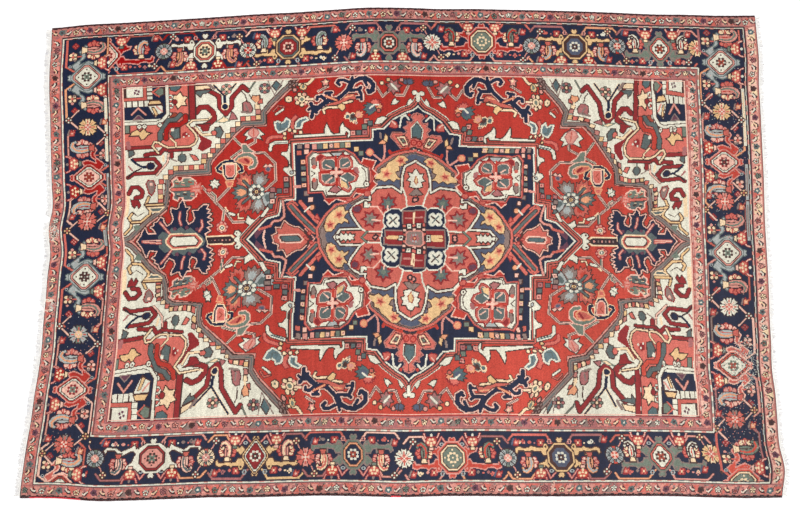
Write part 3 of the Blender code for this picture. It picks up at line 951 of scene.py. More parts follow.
def drawPendant(at):
    shape(at, pendant["crown"], "navy", "umber", 4.6)
    line(at, pendant["crown"][:-2], "peach", 2.6)
    fill(at, pendant["crown"], "navy")
    ground = [
        (146, 330), (147, 346), (154, 353), (160, 351), (166, 358), (172, 354), (179, 359), (184, 353),
        (192, 357), (198, 350), (206, 345), (210, 338), (210, 330),
    ]
    fill(at, ground, "slate")
    for x, y in ((170, 356), (186, 357), (200, 354)):
        fill(at, disc(x, y, 3, 3, 5), "plum")
    for points in pendant["veins"]:
        line(at, points, "plum", 4.6)
        line(at, points, "coral", 2.8)
        line(at, points, "peach", 1)
    shape(at, [(157, 330), (157, 341), (164, 349), (198, 348), (205, 340), (205, 330)], "coral", "cream",
          1.5)
    shape(at, [(161, 330), (163, 342), (167, 345.5), (196, 344.5), (200, 339), (200, 330)], "ivory",
          "umber", 1.3)
    fill(at, [(211, 330), (211, 344.5), (247, 344), (250, 340), (250, 330)], "cream")
    fill(at, [(212, 330), (212, 342.5), (245, 342), (249, 338), (249, 330)], "brown")
    for x in range(218, 246, 5):
        dot(at, x, 337.3, 1.2, "pink" if x % 2 else "mauve")
    knob = [
        (247, 330), (248, 338), (252, 341), (249, 345), (251, 349), (256, 350), (260, 346), (257, 341),
        (262, 345), (270, 355), (264, 344), (260, 337), (258, 330),
    ]
    shape(at, knob, "ivory", "umber", 1.2)
    dot(at, 253, 346, 1.4, "umber")


fanLeaf = [
    (-3, 0), (-6, 4), (-8, 9), (-5.4, 9), (-5.6, 13), (-2.6, 11), (0, 15), (2.4, 11), (5.2, 14), (5.4, 9),
    (8, 10), (6, 4), (3, 0),
]


def fan(at, x, y, turn, wool, edge="umber", heart=None, size=1):
    spot = within(at, x, y, turn, (size, size))
    shape(spot, fanLeaf, wool, edge, 0.9)
    if heart:
        fill(within(spot, 0, 1.5, 0, (0.45, 0.6)), fanLeaf, heart)


def stem(at, points, core="mauve"):
    line(at, points, "umber", 4.6)
    line(at, points, "peach", 3.2)
    line(at, points, core, 1.9)


def fieldFlowers(at):
    # the winding stems
    for points in (
        [(204, 413), (212, 402), (221, 391), (238, 375), (249, 361), (266, 361)],
        [(222, 391), (240, 409)],
        [(221, 391), (221, 399), (216, 404)],
        [(235, 378), (235, 362)],
        [(245, 452), (262, 464), (250, 478)],
        [(262, 464), (278, 472), (278, 482)],
        [(262, 464), (276, 457), (290, 456), (304, 441), (304, 417), (290, 405)],
        [(446, 542), (453, 529), (462, 537)],
        [(472, 531), (482, 531), (489, 545)],
        [(366, 540), (379, 546), (374, 552)],
        [(404, 506), (410, 502), (416, 492)],
    ):
        stem(at, points, "sage" if points[0][0] % 2 else "mauve")
    # leaf palmette with a pink lily
    upper = [
        (160, 412), (165, 417), (164, 424), (170, 427), (172.5, 422), (177, 423), (178, 427), (188, 427),
        (195, 422), (197, 416), (191, 413),
    ]
    shape(at, upper, "sage", "peach", 1.4)
    shape(at, [(x, 822 - y) for x, y in upper], "slate", "peach", 1.4)
    for x, y in ((168, 420), (176, 418), (186, 421), (169, 402), (178, 404), (188, 401)):
        line(at, [(x, y), (x + 4, y - 1.6)], ("rust", "umber", "brick")[x % 3], 2)
        line(at, [(x, y + 2), (x + 3, y + 2.6)], "cream", 1.1)
    band(at, [(163, 411), (190, 411)], "salmon", 3.2, "umber", 0.9)
    star(at, 196, 411, 9.5, 7, "pink", "coral", 0.5, 0)
    line(at, [(192, 411), (204, 411)], "coral", 1.6)
    star(at, 221, 416, 8, 7, "ivory", "umber", 0.66)
    line(at, [(216, 421), (224, 413)], "sage", 1.2)
    shape(at, disc(213, 408, 3.6, 3.2, 7), "coral", "maroon", 0.9)
    # dark pot with a salmon heart
    ears = [
        (230, 432), (226, 434), (225, 438), (231, 443.5), (237, 446.5), (246, 447), (254, 443.5),
        (258, 438), (259, 432), (255, 431),
    ]
    line(at, ears, "cream", 5.2)
    line(at, ears, "navy", 3.6)
    shape(at, [(232.5, 443), (233, 428), (237, 420.5), (247, 420.5), (251, 428), (251, 443)], "navy",
          "cream", 1.2)
    shape(at, [(236.6, 442), (236.6, 428), (239.5, 424.5), (245, 424.5), (248.4, 428), (248.4, 442)],
          "salmon", "peach", 1.3)
    line(at, [(240, 438), (244, 434), (240, 430)], "rust", 1.3)
    shape(at, [(236, 418), (246, 418), (244, 411), (238, 411)], "salmon", "apricot", 1.4)
    # great rosette with leaves round it
    for x, y, turn, wool, heart in (
        (266, 409, 27, "coral", "apricot"), (279, 410, -22, "mauve", "silver"),
        (265, 402, 90, "slate", "apricot"), (266, 394, 153, "coral", "madder"),
        (280, 393, 184, "mauve", "silver"), (287, 398, 232, "silver", "slate"),
    ):
        fan(at, x, y, turn, wool, "umber", heart, 1.5)
    for points in ([(260, 418), (269, 408)], [(259, 387), (269, 396)]):
        band(at, points, "slate", 2.6, "umber", 0.9)
    rays(at, 277, 402, 8, 8, 22, 3.4, "ivory", "slate")
    dot(at, 277, 402, 5.4, "silver", "umber", 1.3)
    dot(at, 277, 402, 3.2, "gold", "umber", 1)
    dot(at, 277, 402, 1.1, "umber")
    shape(at, [(259, 470), (265, 470), (270, 463), (277, 458), (268, 455), (260, 458)], "sage", "peach", 1.2)
    curl = [
        (251, 448), (255, 452), (262, 455), (270, 454.5), (276, 450), (277.5, 443), (275, 438), (270, 436.5),
    ]
    band(at, curl, "sage", 4.2, "peach", 1.1)
    shape(at, [(252, 446), (255, 450), (263, 451.5), (269, 450), (272, 445), (269, 440), (261, 441)],
          "coral", "apricot", 1.6)
    line(at, [(263, 449), (268, 444)], "maroon", 3)
    # pink lily with white wings
    wings = [
        (264, 474), (267, 480), (262, 483), (268, 489), (276, 494), (285, 489), (291, 482), (285, 480),
        (288, 474), (276, 479),
    ]
    shape(at, wings, "ivory", "umber", 1.1)
    shape(at, [(268, 485), (271, 490), (276, 492), (281, 490), (284, 485), (279, 478), (274, 478)], "pink",
          "rose")
    line(at, [(276, 490), (276, 481)], "coral", 1.6)
    shape(at, [(287, 436), (291, 441), (294, 438), (297, 441), (302, 436), (294, 434)], "peach")
    dot(at, 294, 433, 3.4, "blue", "rose")
    line(at, [(236, 382), (241, 376)], "cream", 1.7)
    band(at, [(242, 374), (250, 371)], "ivory", 3, "umber", 0.9)
    band(at, [(255, 372), (256, 366), (262, 366)], "cream", 1.6, "umber", 0.8)
    rays(at, 234, 355, 5.4, 7, 0, 3.2, "pink", "maroon")
    dot(at, 234, 355, 5.4, "coral")
    dot(at, 234, 354, 3.6, "slate", "cream", 1)
    dot(at, 234, 354, 1.4, "ivory")
    shape(at, [(265, 360), (268, 370), (274, 365), (281, 362), (273, 354)], "ivory", "umber", 1.2)
    # tulips on a red stem, with bars below
    trunk = [(326, 480), (326, 499), (321, 506), (328, 503), (333, 509), (338, 505), (332, 499), (332, 480)]
    shape(at, trunk, "salmon", "maroon", 1.1)
    line(at, [(329, 482), (329, 500)], "coral", 1.3)
    leftTulip = [
        (305, 499), (310, 500), (314, 497), (318, 499), (321, 504), (326, 500), (324, 491), (318, 486),
        (310, 484), (306, 490),
    ]
    rightTulip = [(333, 489), (334, 497), (339, 502), (348, 504), (351, 500), (343, 497), (341, 489)]
    for points, heart in (
        (leftTulip, [(313, 497), (312, 489), (318, 489)]), (rightTulip, [(338, 491), (340, 499)]),
    ):
        line(at, points, "umber", 3.6, closed=True)
        shape(at, points, "sky", "ivory", 1.7)
        line(at, heart, "slate", 1.6)
    for x, y in ((318, 482), (325, 487), (332, 485), (340, 483)):
        dot(at, x, y, 2.9, "cream", "umber", 1.1)
    band(at, [(294, 471), (296, 476), (302, 478), (315, 478)], "salmon", 3.8, "maroon")
    dot(at, 318, 476, 2.6, "gold", "umber")
    band(at, [(298, 460), (299, 467), (305, 470), (322, 470)], "ivory", 3.9)
    line(at, [(304, 469.5), (320, 469.5)], "teal", 1.8)
    # small flowers above the tulips
    shape(at, disc(325, 531, 5.6, 5.4, 6, 30), "cream", "umber", 1.2)
    dot(at, 325, 531, 1.4, "sage")
    rays(at, 343, 530, 7.8, 7, 10, 3.2, "cream", "umber")
    rays(at, 343, 530, 8, 3, 60, 1.8, "pink")
    dot(at, 343, 530, 3.8, "sage", "cream", 1.5)
    stem(at, [(350, 530), (359, 529)], "cream")
    band(at, [(307, 510), (317, 517)], "ivory", 2.4, "umber", 0.9)
    band(at, [(304, 515), (310, 522), (318, 520)], "coral", 1.6, "umber", 0.8)
    band(at, [(340, 551), (353, 552), (360, 559)], "cream", 3, "umber", 0.9)
    fan(at, 346, 552, 175, "gold", "umber", "sage", 0.72)
    shape(at, disc(334, 544, 3.8, 3.4, 6), "pink", "umber", 1.5)
    star(at, 376, 552, 7, 5, "pink", "umber")
    dot(at, 377, 553, 1.8, "cream")
    # the great navy scroll: its strokes and their widths
    scroll = (
        ([(407, 551), (401, 554), (395, 554), (392, 550.5), (395, 547.5)], 4.8),
        ([(408, 541), (413, 551)], 8), ([(411, 550), (413, 557)], 4),
        ([(413, 550), (422, 554.5), (430, 555.5), (436.5, 551.5), (441, 546), (440, 538), (435, 535)], 6.2),
        ([(435, 535), (433, 538)], 4.4), ([(429, 552), (432, 545.5)], 4.4),
        ([(409, 543), (403, 536.5), (396, 530.5), (390, 527)], 5.4),
        ([(392, 527), (379, 526), (370, 520), (363, 514.5)], 6.8),
        ([(382, 527), (379.5, 536)], 5), ([(375.5, 536.5), (384, 537)], 4.2),
        ([(374, 528), (369.5, 532.5), (364, 531.5), (363.5, 528.5)], 4.6),
        ([(365, 516.5), (356.5, 518.5), (355, 523)], 5.4), ([(357, 518), (351.5, 514.5)], 4),
        ([(358, 514), (355.5, 503.5)], 5.4), ([(358.5, 512), (362.5, 509.5)], 4),
        ([(409, 538.5), (420, 539), (424, 542)], 4.6),
        ([(421.5, 538.5), (424, 532), (424, 525)], 4.8), ([(424, 528), (417.5, 528)], 3.6),
    )
    for rim, wool in ((4.4, "umber"), (2.8, "peach"), (0, "navy")):
        for points, width in scroll:
            line(at, points, wool, width + rim)
    sash = [
        (379, 521.5), (396, 525.5), (406, 534), (415, 533), (417, 525), (408, 526), (396, 519.5),
        (374, 517.5),
    ]
    shape(at, sash, "coral", "umber", 0.9)
    band(at, [(376, 532), (390, 525.5)], "apricot", 2.2, "maroon", 0.6)
    line(at, [(402, 529), (412, 531)], "apricot", 2)
    band(at, [(373, 508.5), (371.5, 513.5), (377, 516), (391, 515.5), (399, 520.5), (411, 523)], "cream", 2.5)
    shape(at, [(390, 517), (396, 521), (401, 519), (402, 513), (397, 509), (394, 513)], "gold")
    # blue and coral flower
    for turn, wool in ((-50, "coral"), (-85, "apricot"), (-15, "salmon")):
        fan(at, 441, 514, turn, wool, "maroon", None, 0.86)
    fan(at, 443, 512, 95, "teal", "umber", "blue", 1.2)
    line(at, [(435, 512), (441, 517), (447, 517)], "ivory", 2.4)
    fan(at, 409, 505, -145, "slate", "cream", "umber", 0.9)
    fan(at, 416, 500, -50, "apricot", "maroon", "pink", 0.86)
    fan(at, 407, 500, 60, "teal", "cream", None, 0.5)
    # mauve star and its blue leaves under the guard
    star(at, 469, 543, 12, 7, "rose", "umber", 0.6, 60)
    star(at, 468, 543, 7, 7, "mauve", None, 0.6, 30)
    line(at, [(466, 547), (473, 539)], "ivory", 2.6)
    for turn in (35, -35):
        fan(at, 489, 547, turn, "blue", "umber", None, 0.66)
    for x, y, wool in ((453, 548, "cream"), (462, 553, "gold"), (447, 509, "coral"), (480, 553, "pink")):
        dot(at, x, y, 3, wool, "umber", 1)
    for x in (464, 485):
        shape(at, [(x, 517), (x + 2, 523), (x + 6, 528), (x + 8, 524), (x + 13, 523), (x + 7, 518)],
              "ivory")


medallion = {
    "outline": [
        (258, 326), (260, 338), (290, 368), (306, 372), (307, 392), (326, 393), (326, 471), (433, 471),
        (434, 486), (449, 487), (463, 501), (480, 510.5), (490, 514), (496, 519), (501, 527),
    ],
    # outer edge of the gold and slate ring
    "ring": [
        (360, 326), (362, 348), (374, 366), (386, 379), (402, 382), (414, 388), (434, 404), (438, 418),
        (441, 429), (452, 437), (464, 446), (480, 451), (500, 454),
    ],
    "panel": [
        (351, 399), (350, 446), (357, 453), (366, 451), (398, 453), (409, 447), (418, 434), (429, 428),
        (430, 412), (424, 401), (412, 402), (404, 391), (372, 391), (368, 399),
    ],
    "ragged": [
        (372, 396), (370, 386), (377, 380), (386, 387), (398, 383), (408, 387), (412, 394), (428, 391),
        (434, 398), (441, 406), (434, 412), (442, 420), (436, 427), (441, 438), (424, 442), (414, 420),
        (400, 396),
    ],
}


def drawMedallion(at):
    fill(at, medallion["outline"] + [(500, 326)], "navy")
    line(at, [(x - 2.4, y + 2.4) for x, y in medallion["outline"][1:3]], "ivory", 3)
    line(at, [(x - 1.8, y + 2.4) for x, y in medallion["outline"][9:]], "ivory", 3)
    line(at, medallion["outline"], "umber", 7.2)
    line(at, medallion["outline"], "coral", 5)
    line(at, medallion["outline"], "umber")
    inset = [(x + 4.3, y - 3.8) for x, y in medallion["outline"]]
    line(at, inset, "ivory", 2)
    # white peaks and little squares outside the outline
    peaks = [
        (330, 480), (372, 479.5), (372, 485), (373.5, 490), (376, 494), (378, 489), (381, 482), (385, 478),
        (393, 479), (393, 486), (395, 491), (398, 494), (400, 488), (404, 485), (408, 481), (409, 477),
        (406, 472), (403, 470.5), (403, 475), (404.5, 478), (402, 480), (400, 475.5), (330, 475.5),
    ]
    shape(at, peaks, "ivory", "umber", 1.2)
    side = [
        (324, 468), (321, 457), (313, 456), (312, 452), (317, 450), (322, 443), (322, 435), (316, 435),
        (314, 431), (324, 421), (331, 423), (332, 428), (327, 431), (324, 437), (326, 468),
    ]
    shape(at, side, "ivory")
    dot(at, 326, 427, 2.4, "silver", "umber", 0.9)
    for places, size, tones in (
        (((411, 478), (427, 478), (430, 494)), 6.6, ("pink", "rose", "pink")),
        (((419, 478), (427, 486), (435, 491)), 6.4, ("slate", "sage", "slate")),
        (((318, 418), (317, 402), (299, 388), (299, 404)), 6.6, ("pink", "rose", "peach", "rose")),
        (((318, 410), (308, 402), (298, 396), (297, 381)), 6.6, ("slate", "slate", "mauve", "slate")),
    ):
        squares(at, places, size, tones, "brown")
    for x, y in ((411, 478), (427, 478), (430, 494), (318, 418), (317, 402), (299, 388)):
        dot(at, x, y, 1.1, "maroon")
    shape(at, [(440, 489), (445, 498), (452, 501), (460, 499), (450, 490)], "ivory")
    shape(at, [(284, 366), (293, 381), (297, 378), (290, 366)], "ivory", "umber", 0.9)
    # the blunt point at the side, ringed by a pink bracket and two notched beams
    fill(at, [(278, 337), (292, 350), (286, 352), (276, 345)], "plum")
    band(at, [(313, 388), (316, 377), (318, 366), (312, 361), (303, 360), (299, 354)], "pink", 2.8, "umber",
         0.69)
    line(at, [(299, 354), (292, 352), (284, 350)], "coral", 3.4)
    line(at, [(291, 348), (288, 338), (293, 328)], "peach", 2.4)
    for wool, width in (("umber", 6.4), ("salmon", 4.4)):
        line(at, [(337, 386), (366, 353)], wool, width)
    for wool, width in (("umber", 11.6), ("salmon", 9.4), ("umber", 5.4), ("slate", 3.4)):
        line(at, [(325, 380), (358, 345)], wool, width)
    line(at, [(319, 383), (326, 388), (334, 381)], "coral", 2.2)
    spear = [
        (294, 330), (301, 334), (300, 341), (307, 344), (306, 352), (313, 351), (318, 361), (325, 355),
        (331, 352), (338, 351), (344, 345),
    ]
    shape(at, spear + [(350, 336), (350, 326), (297, 326)], "coral", "umber", 2.6)
    line(at, spear, "peach", 1.3)
    shape(at, [(306, 326), (310, 341), (336, 341), (342, 334), (342, 326)], "umber", "peach", 1.5)
    fill(at, [(309, 326), (313, 339), (334, 339), (339, 333), (339, 326)], "teal")
    for x in (316, 323, 330):
        line(at, [(x, 327), (x, 338)], "slate", 1.4)
    band(at, [(346, 326), (356, 336), (346, 348)], "pink", 1.5, "umber", 0.58)
    line(at, [(353, 326), (360, 336), (366, 346), (366, 352)], "sage", 3)
    for x, y in ((345, 336), (358, 330), (351, 342)):
        dot(at, x, y, 2.6, "coral", "maroon", 1)
    # small flowers on the navy ground
    line(at, [(438, 447), (450, 437), (453, 446), (454, 465)], "pink", 2.6)
    dot(at, 433, 450, 5.6, "coral")
    dot(at, 433, 450, 4.2, "apricot")
    shape(at, [(452, 466), (455, 477), (459, 472), (457, 464)], "gold", "umber", 0.9)
    shape(at, [(445, 462), (450, 468), (456, 465), (454, 461)], "apricot", "umber", 0.9)
    line(at, [(449, 470), (448, 477)], "mauve", 3)
    shape(at, [(461, 486), (463, 492), (465, 496), (471, 493), (473, 486), (469, 484)], "coral", "maroon")
    line(at, [(465, 494), (469, 490)], "peach", 1.8)
    line(at, [(475, 486), (478, 500), (483.5, 503), (488, 497)], "ivory", 2.4)
    # the flower at the tip of the upright axis
    petals = [
        (500.5, 506.5), (494.5, 505), (491, 501), (494.5, 496), (491.5, 492.5), (485, 494), (486, 488.5),
        (480, 485.5), (484.5, 480), (481, 476), (477, 478.5), (465, 478.5), (462, 472), (468.5, 465),
        (475.5, 456), (486, 455), (493, 458),
    ]
    shape(at, petals + [(501, 457)], "salmon", "umber", 1.6)
    line(at, petals[:-2], "brick", 1.4)
    line(at, [(484, 473), (488, 464), (486, 458)], "umber", 1)
    shape(at, [(469, 473.5), (482, 474), (487, 460), (478, 458.5)], "coral")
    shape(at, [(471.5, 471.5), (480.5, 472), (484.5, 462), (479, 461)], "rose", "cream", 1.2)
    shape(at, [(475.5, 469), (480, 469.5), (482.5, 464.5), (478.5, 464)], "sage")
    shape(at, [(491, 471.5), (491, 485), (500.5, 495), (502, 471.5)], "teal", "umber", 2)
    line(at, [(490.5, 472), (490.5, 485), (500.5, 495.5)], "ivory", 1.1)
    dot(at, 493.2, 464.5, 4.2, "madder", "maroon", 1)
    dot(at, 493.4, 464.5, 2.4, "salmon")
    dot(at, 493.4, 464.5, 1.2, "madder")
    dot(at, 488.5, 503.5, 2.2, "madder")
    for x in (492, 499):
        line(at, [(x, 449), (x + 1, 455), (x + 4, 451)], "ivory", 1.7)
    line(at, [(460, 452), (462, 448), (474, 452), (486, 456)], "madder", 4.2)
    dot(at, 354, 377, 4.2, "apricot", "umber")
    line(at, [(345, 372), (351, 378)], "ivory", 2.2)
    line(at, [(329, 407), (340, 407)], "pink", 3.2)
    shape(at, [(358, 362), (368, 358), (362, 368)], "coral", "maroon")
    # square frame of the side panel
    row = [(338, 463), (348, 463)] + [(358 + 7.6 * k, 461.5) for k in range(7)]
    tones = ("mauve", "pink", "pink", "slate", "gold", "mauve", "apricot", "sage", "gold")
    squares(at, row, 7.4, tones, "brown")
    column = [(337, 454)] + [(342, 441 - 8.2 * k) for k in range(5)]
    squares(at, column, 6.4, ("coral", "apricot", "slate", "gold", "slate", "apricot"), "brown")
    corners = ((347, 455), (415, 455), (421, 449), (345, 397), (351, 388))
    squares(at, corners, 6.4, ("peach", "gold", "sage", "mauve"))
    for x, y in ((380.8, 461.5), (404, 461.5), (342, 441), (342, 424.6), (342, 408)):
        dot(at, x, y, 1.6, "rust", "peach")


def drawPanel(at):
    shape(at, medallion["ragged"], "madder", "peach", 1.2)
    for x, y in ((404, 386), (428, 393), (433, 415)):
        shape(at, disc(x, y, 5, 4.4, 6), "coral", "maroon")
    middle = np.array([(387, 423)])
    rims = ((1.13, "maroon"), (1.10, "salmon"), (1.055, "umber"), (1.035, "mauve"), (1, "ivory"))
    for grow, wool in rims:
        fill(at, (np.array(medallion["panel"], float) - middle) * grow + middle, wool)
    line(at, medallion["panel"], "umber", 1, closed=True)
    # bits of leaf in the ivory ring
    shape(at, [(354, 436), (353, 444), (357, 447), (361, 443), (360, 434)], "mauve")
    fill(at, disc(356.5, 433, 3.4, 3, 6), "coral")
    line(at, [(352, 428), (358, 424), (352, 420)], "umber", 1.3)
    shape(at, [(353, 414), (353, 404), (357, 401), (361, 408), (360, 416)], "mauve")
    fill(at, disc(356, 415, 3.4, 3, 6), "coral")
    shape(at, [(360, 441), (360, 447), (366, 451), (374, 446), (368, 442)], "maroon", "coral")
    shape(at, [(378, 452), (384, 446), (392, 446), (398, 452)], "silver", "umber", 1.2)
    line(at, [(396, 450), (400, 446), (408, 447)], "maroon", 2.4)
    shape(at, [(408, 428), (412, 432), (417, 430), (419, 421), (413, 419)], "rose", "ivory", 1.4)
    shape(at, [(375, 398), (378, 402), (385, 407), (392, 399), (386, 395)], "rose", "umber", 1.2)
    line(at, [(371, 400), (373, 393), (384, 392), (401, 391)], "umber", 1.2)
    line(at, [(421, 430), (426, 424), (427, 414), (424, 407)], "umber", 1.2)
    dot(at, 427, 406, 4, "ivory", "umber")
    dot(at, 427, 406, 1.4, "umber")
    # four lobes in a maroon outline round a small cross
    lobes = (
        [(366, 428), (365, 440), (370, 445), (384, 444), (388, 440), (388, 426), (372, 427)],
        [(390, 428), (389, 441), (394, 446), (404, 445), (408, 438), (408, 431), (402, 427)],
        [(364, 424), (364, 414), (369, 408), (380, 407), (387, 410), (387, 422), (376, 424)],
        [(390, 421), (389, 408), (396, 400), (402, 397), (405, 401), (402, 409), (412, 412), (415, 418),
         (402, 428)],
    )
    for points in lobes:
        shape(at, points, "maroon", "maroon", 3.6)
    for points in lobes:
        line(at, points, "coral", 1.5, closed=True)
        p = np.array(points, float)
        fill(at, (p - p.mean(0)) * 0.84 + p.mean(0), "peach")
        fill(at, (p - p.mean(0)) * 0.74 + p.mean(0), "slate")
    for points in ([(373, 435), (381, 430)], [(396, 433), (403, 437)], [(372, 411), (380, 417)]):
        line(at, points, "peach", 1.8)
    fill(at, [(392, 403), (392, 413), (399, 409), (402, 402)], "gold")
    line(at, [(392, 417), (399, 412)], "ivory", 1.8)
    line(at, [(365, 425), (410, 425)], "madder", 3)
    line(at, [(386.5, 406), (386.5, 446)], "madder", 3)
    line(at, [(380, 424), (394, 424)], "peach", 3.2)
    line(at, [(386.5, 418), (386.5, 430)], "peach", 3.2)
    for x, y in ((382, 429), (391, 428), (382, 419), (391, 419)):
        dot(at, x, y, 1.9, "brown")


def finial(at):
    # the little ivory knob on the medallion's far and near points
    shape(at, disc(497, 535, 4.2, 4, 8), "ivory", "umber", 0.9)
    band(at, [(501, 524), (501, 534)], "ivory", 4, "umber", 0.7)
    line(at, [(497, 536), (501, 533)], "ivory", 3)


def drawCentre(at):
    fill(at, medallion["ring"] + [(500, 326)], "mauve")
    line(at, medallion["ring"], "umber", 4.6)
    line(at, medallion["ring"], "salmon", 3)
    line(at, [(x + 3.4, y - 3) for x, y in medallion["ring"]], "umber", 1)
    # a slate blue band follows the inner outline, with golden lobes outside it
    slate = [
        (370, 326), (373, 341), (386, 345), (391, 354), (402, 380), (416, 376), (430, 398), (436, 405),
        (444, 410), (472, 416), (476, 436), (486, 447), (500, 449), (500, 326),
    ]
    fill(at, slate, "blue")
    lobes = (
        [(371, 350), (373, 343), (380, 342), (385, 346), (388, 351), (392, 354), (396, 352), (399, 356),
         (406, 352), (404, 358), (399, 361), (402, 366), (408, 371), (400, 370), (398, 376), (391, 377),
         (384, 372), (376, 364)],
        [(438, 412), (440, 420), (446, 422), (447, 428), (454, 430), (457, 436), (464, 440), (472, 447),
         (480, 446), (486, 440), (480, 437), (478, 432), (472, 431), (473, 425), (467, 423), (470, 417),
         (477, 412), (468, 413), (464, 409), (458, 413), (452, 409), (446, 412)],
    )
    for lobe in lobes:
        shape(at, lobe, "gold")
    for x, y, start in ((380, 352, 20), (392, 365, 60), (475, 439, 40), (455, 420, 80)):
        star(at, x, y, 7, 5, "coral", "apricot", 0.5, start)
        line(at, [(x - 3, y - 1), (x + 3, y + 1)], "maroon", 1.4)
    inner = [
        (381, 326), (381, 331), (393, 345), (421, 345), (409, 364), (407, 371), (414, 379), (424, 384),
        (432, 384), (431, 391), (440, 401), (462, 403), (474, 395), (476, 418), (480, 431), (495, 439),
        (500, 439), (500, 326),
    ]
    shape(at, inner, "coral", "umber", 4.4)
    line(at, inner[:-1], "ivory", 2.4)
    # slate leaves of the four spandrels inside the ring
    for x, y, start, wool in ((457, 380, 90, "slate"), (435, 358, 180, "mauve")):
        star(at, x, y, 12.5, 7, wool, "maroon", 0.56, start, 1.8)
        dot(at, x, y, 3.4, "sage")
    line(at, [(458, 368), (457, 376)], "peach", 2.2)
    line(at, [(437, 357), (448, 356)], "peach", 2.2)
    shape(at, [(424, 374), (424, 383), (428, 383), (430, 379), (434, 380), (434, 375), (430, 373)], "ivory")
    shape(at, disc(416, 372, 6.2, 5.6, 7), "plum", "maroon", 1.6)
    line(at, [(434, 375), (443, 375), (449, 368), (455, 360)], "peach", 1.8)
    line(at, [(476, 401), (481, 388), (483, 375), (500, 376)], "ivory", 2.2)
    line(at, [(421, 346), (427, 341), (452, 341), (454, 353)], "ivory", 2.2)
    line(at, [(429, 338.6), (450, 338.6)], "umber", 1.2)
    for x, y in ((440.5, 333.4), (493, 385)):
        dot(at, x, y, 4.4, "brown")
        dot(at, x, y, 1.7, "pink")
    # the ivory trees
    tree = [
        (384, 332), (387, 338.5), (391, 336.5), (393, 341), (397, 337.5), (400, 341), (403, 337),
        (406, 340.5), (408, 337.5), (413, 338.5), (411, 334), (411, 326), (384, 326),
    ]
    shape(at, tree, "ivory", "umber", 1.2)
    band(at, [(416, 328), (422, 334), (429, 341)], "sage", 2.2, "umber", 0.54)
    tree = [
        (500, 430), (493, 427), (490, 422), (484, 423), (486, 417), (482, 412), (487, 410), (485, 403),
        (491, 401),
    ]
    shape(at, tree + [(500, 400)], "ivory", "umber", 1.2)
    shape(at, [(500, 419), (494, 417), (492, 410), (496, 404), (500, 403)], "gold", "rust")
    shape(at, [(484, 392), (492, 400), (500, 401), (500, 396), (492, 390)], "mauve")
    # the heart: a scalloped navy outline round four red blocks, with an ivory flower in each corner
    heart = [
        (500, 374), (486, 374), (480, 371), (476.5, 366), (472, 370), (463, 370), (456, 365), (454, 354),
        (458, 347), (452, 343), (450, 333), (450, 326),
    ]
    line(at, heart, "ivory", 6.4)
    shape(at, heart + [(500, 326)], "navy", "navy", 2.6)
    fill(at, box(477, 350, 500, 371), "mauve")
    fill(at, box(479.5, 352, 500, 369), "maroon")
    fill(at, box(452, 326, 478, 344), "mauve")
    fill(at, box(454, 326, 478, 342), "maroon")
    line(at, [(482, 360), (500, 360)], "brick", 2.2)
    line(at, [(493.3, 353), (493.3, 367)], "cream", 2.8)
    line(at, [(458, 333.6), (472, 333.4)], "gold", 4.4)
    fill(at, box(477, 326, 500, 352), "umber")
    ladder = ((480, 349.5), (480, 343.5), (480, 337.5), (492.7, 349.5), (492.7, 344))
    squares(at, ladder, 4.6, ("salmon", "peach", "coral"), "brown")
    squares(at, ((486.5, 349), (474.5, 333.6)), 6.4, ("ivory", "ivory"), "brown")
    squares(at, ((486.5, 349), (474.5, 333.6)), 2.2, ("sage", "umber"), None)
    shape(at, octagon(492.5, 333, 11, 9.5, 0.3), "mauve", "pink", 1.3)
    rays(at, 492.5, 333, 4.4, 8, 0, 1.7, "rose")
    rays(at, 492.5, 333, 4.4, 4, 22, 1.3, "silver")
    dot(at, 492.5, 333, 2, "apricot", "maroon", 0.8)
    for reach, wool in ((6, "silver"), (5.2, "ivory")):
        rays(at, 465, 356.5, 5, 4, 45, reach, wool)
    rays(at, 465, 356.5, 8.8, 4, 0, 1.7, "navy")
    line(at, [(460, 352), (470, 361)], "umber", 2.2)
    line(at, [(461, 361), (469, 352)], "slate", 1.8)


def drawField():
    across, along = np.mgrid[0:knots["across"], 0:knots["along"]] + 0.5
    uprightX, uprightY = np.transpose(fold["upright"])
    levelX, levelY = np.transpose(fold["level"])
    onRight = along > np.interp(across, uprightY, uprightX)
    below = across < np.interp(along, levelX, levelY)
    for name, right, lower in (
        (None, False, False), ("farRight", True, False), ("nearLeft", False, True), ("nearRight", True, True),
    ):
        before = chart.copy()
        at = strayed(name)
        drawSpandrel(at)
        cornerPanel(at)
        drawPendant(at)
        fieldFlowers(at)
        drawMedallion(at)
        finial(at)
        drawCentre(at)
        drawPanel(at)
        # a quarter keeps to its own side of both middle lines
        outside = (onRight != right) | (below != lower)
        chart[outside] = before[outside]


def ground(name, wool):
    fill(straight, box(*lay[name]), wool)


ground("edge", "brick")
ground("outer", "navy")
mainBorder()
ground("inner", "brick")
ground("field", "madder")
drawField()
guards()
borderLines()
addPaleKnots()
print("chart drawn")


# the woven rug
def packRows():
    block = knots["block"]
    cells = chart.reshape(knots["across"] // block, block, knots["along"] // block, block).astype(np.float64)
    return (cells * knots["base"] ** np.arange(block)).sum(axis=3).transpose(0, 2, 1)


def deselectAll():
    for obj in bpy.context.selected_objects:
        obj.select_set(False)


def meshPoints(mesh):
    flat = np.empty(len(mesh.vertices) * 3, np.float32)
    mesh.vertices.foreach_get("co", flat)
    return flat.reshape(-1, 3).astype(float)


def setPoints(mesh, points):
    mesh.vertices.foreach_set("co", np.asarray(points, np.float32).ravel())
    mesh.update()


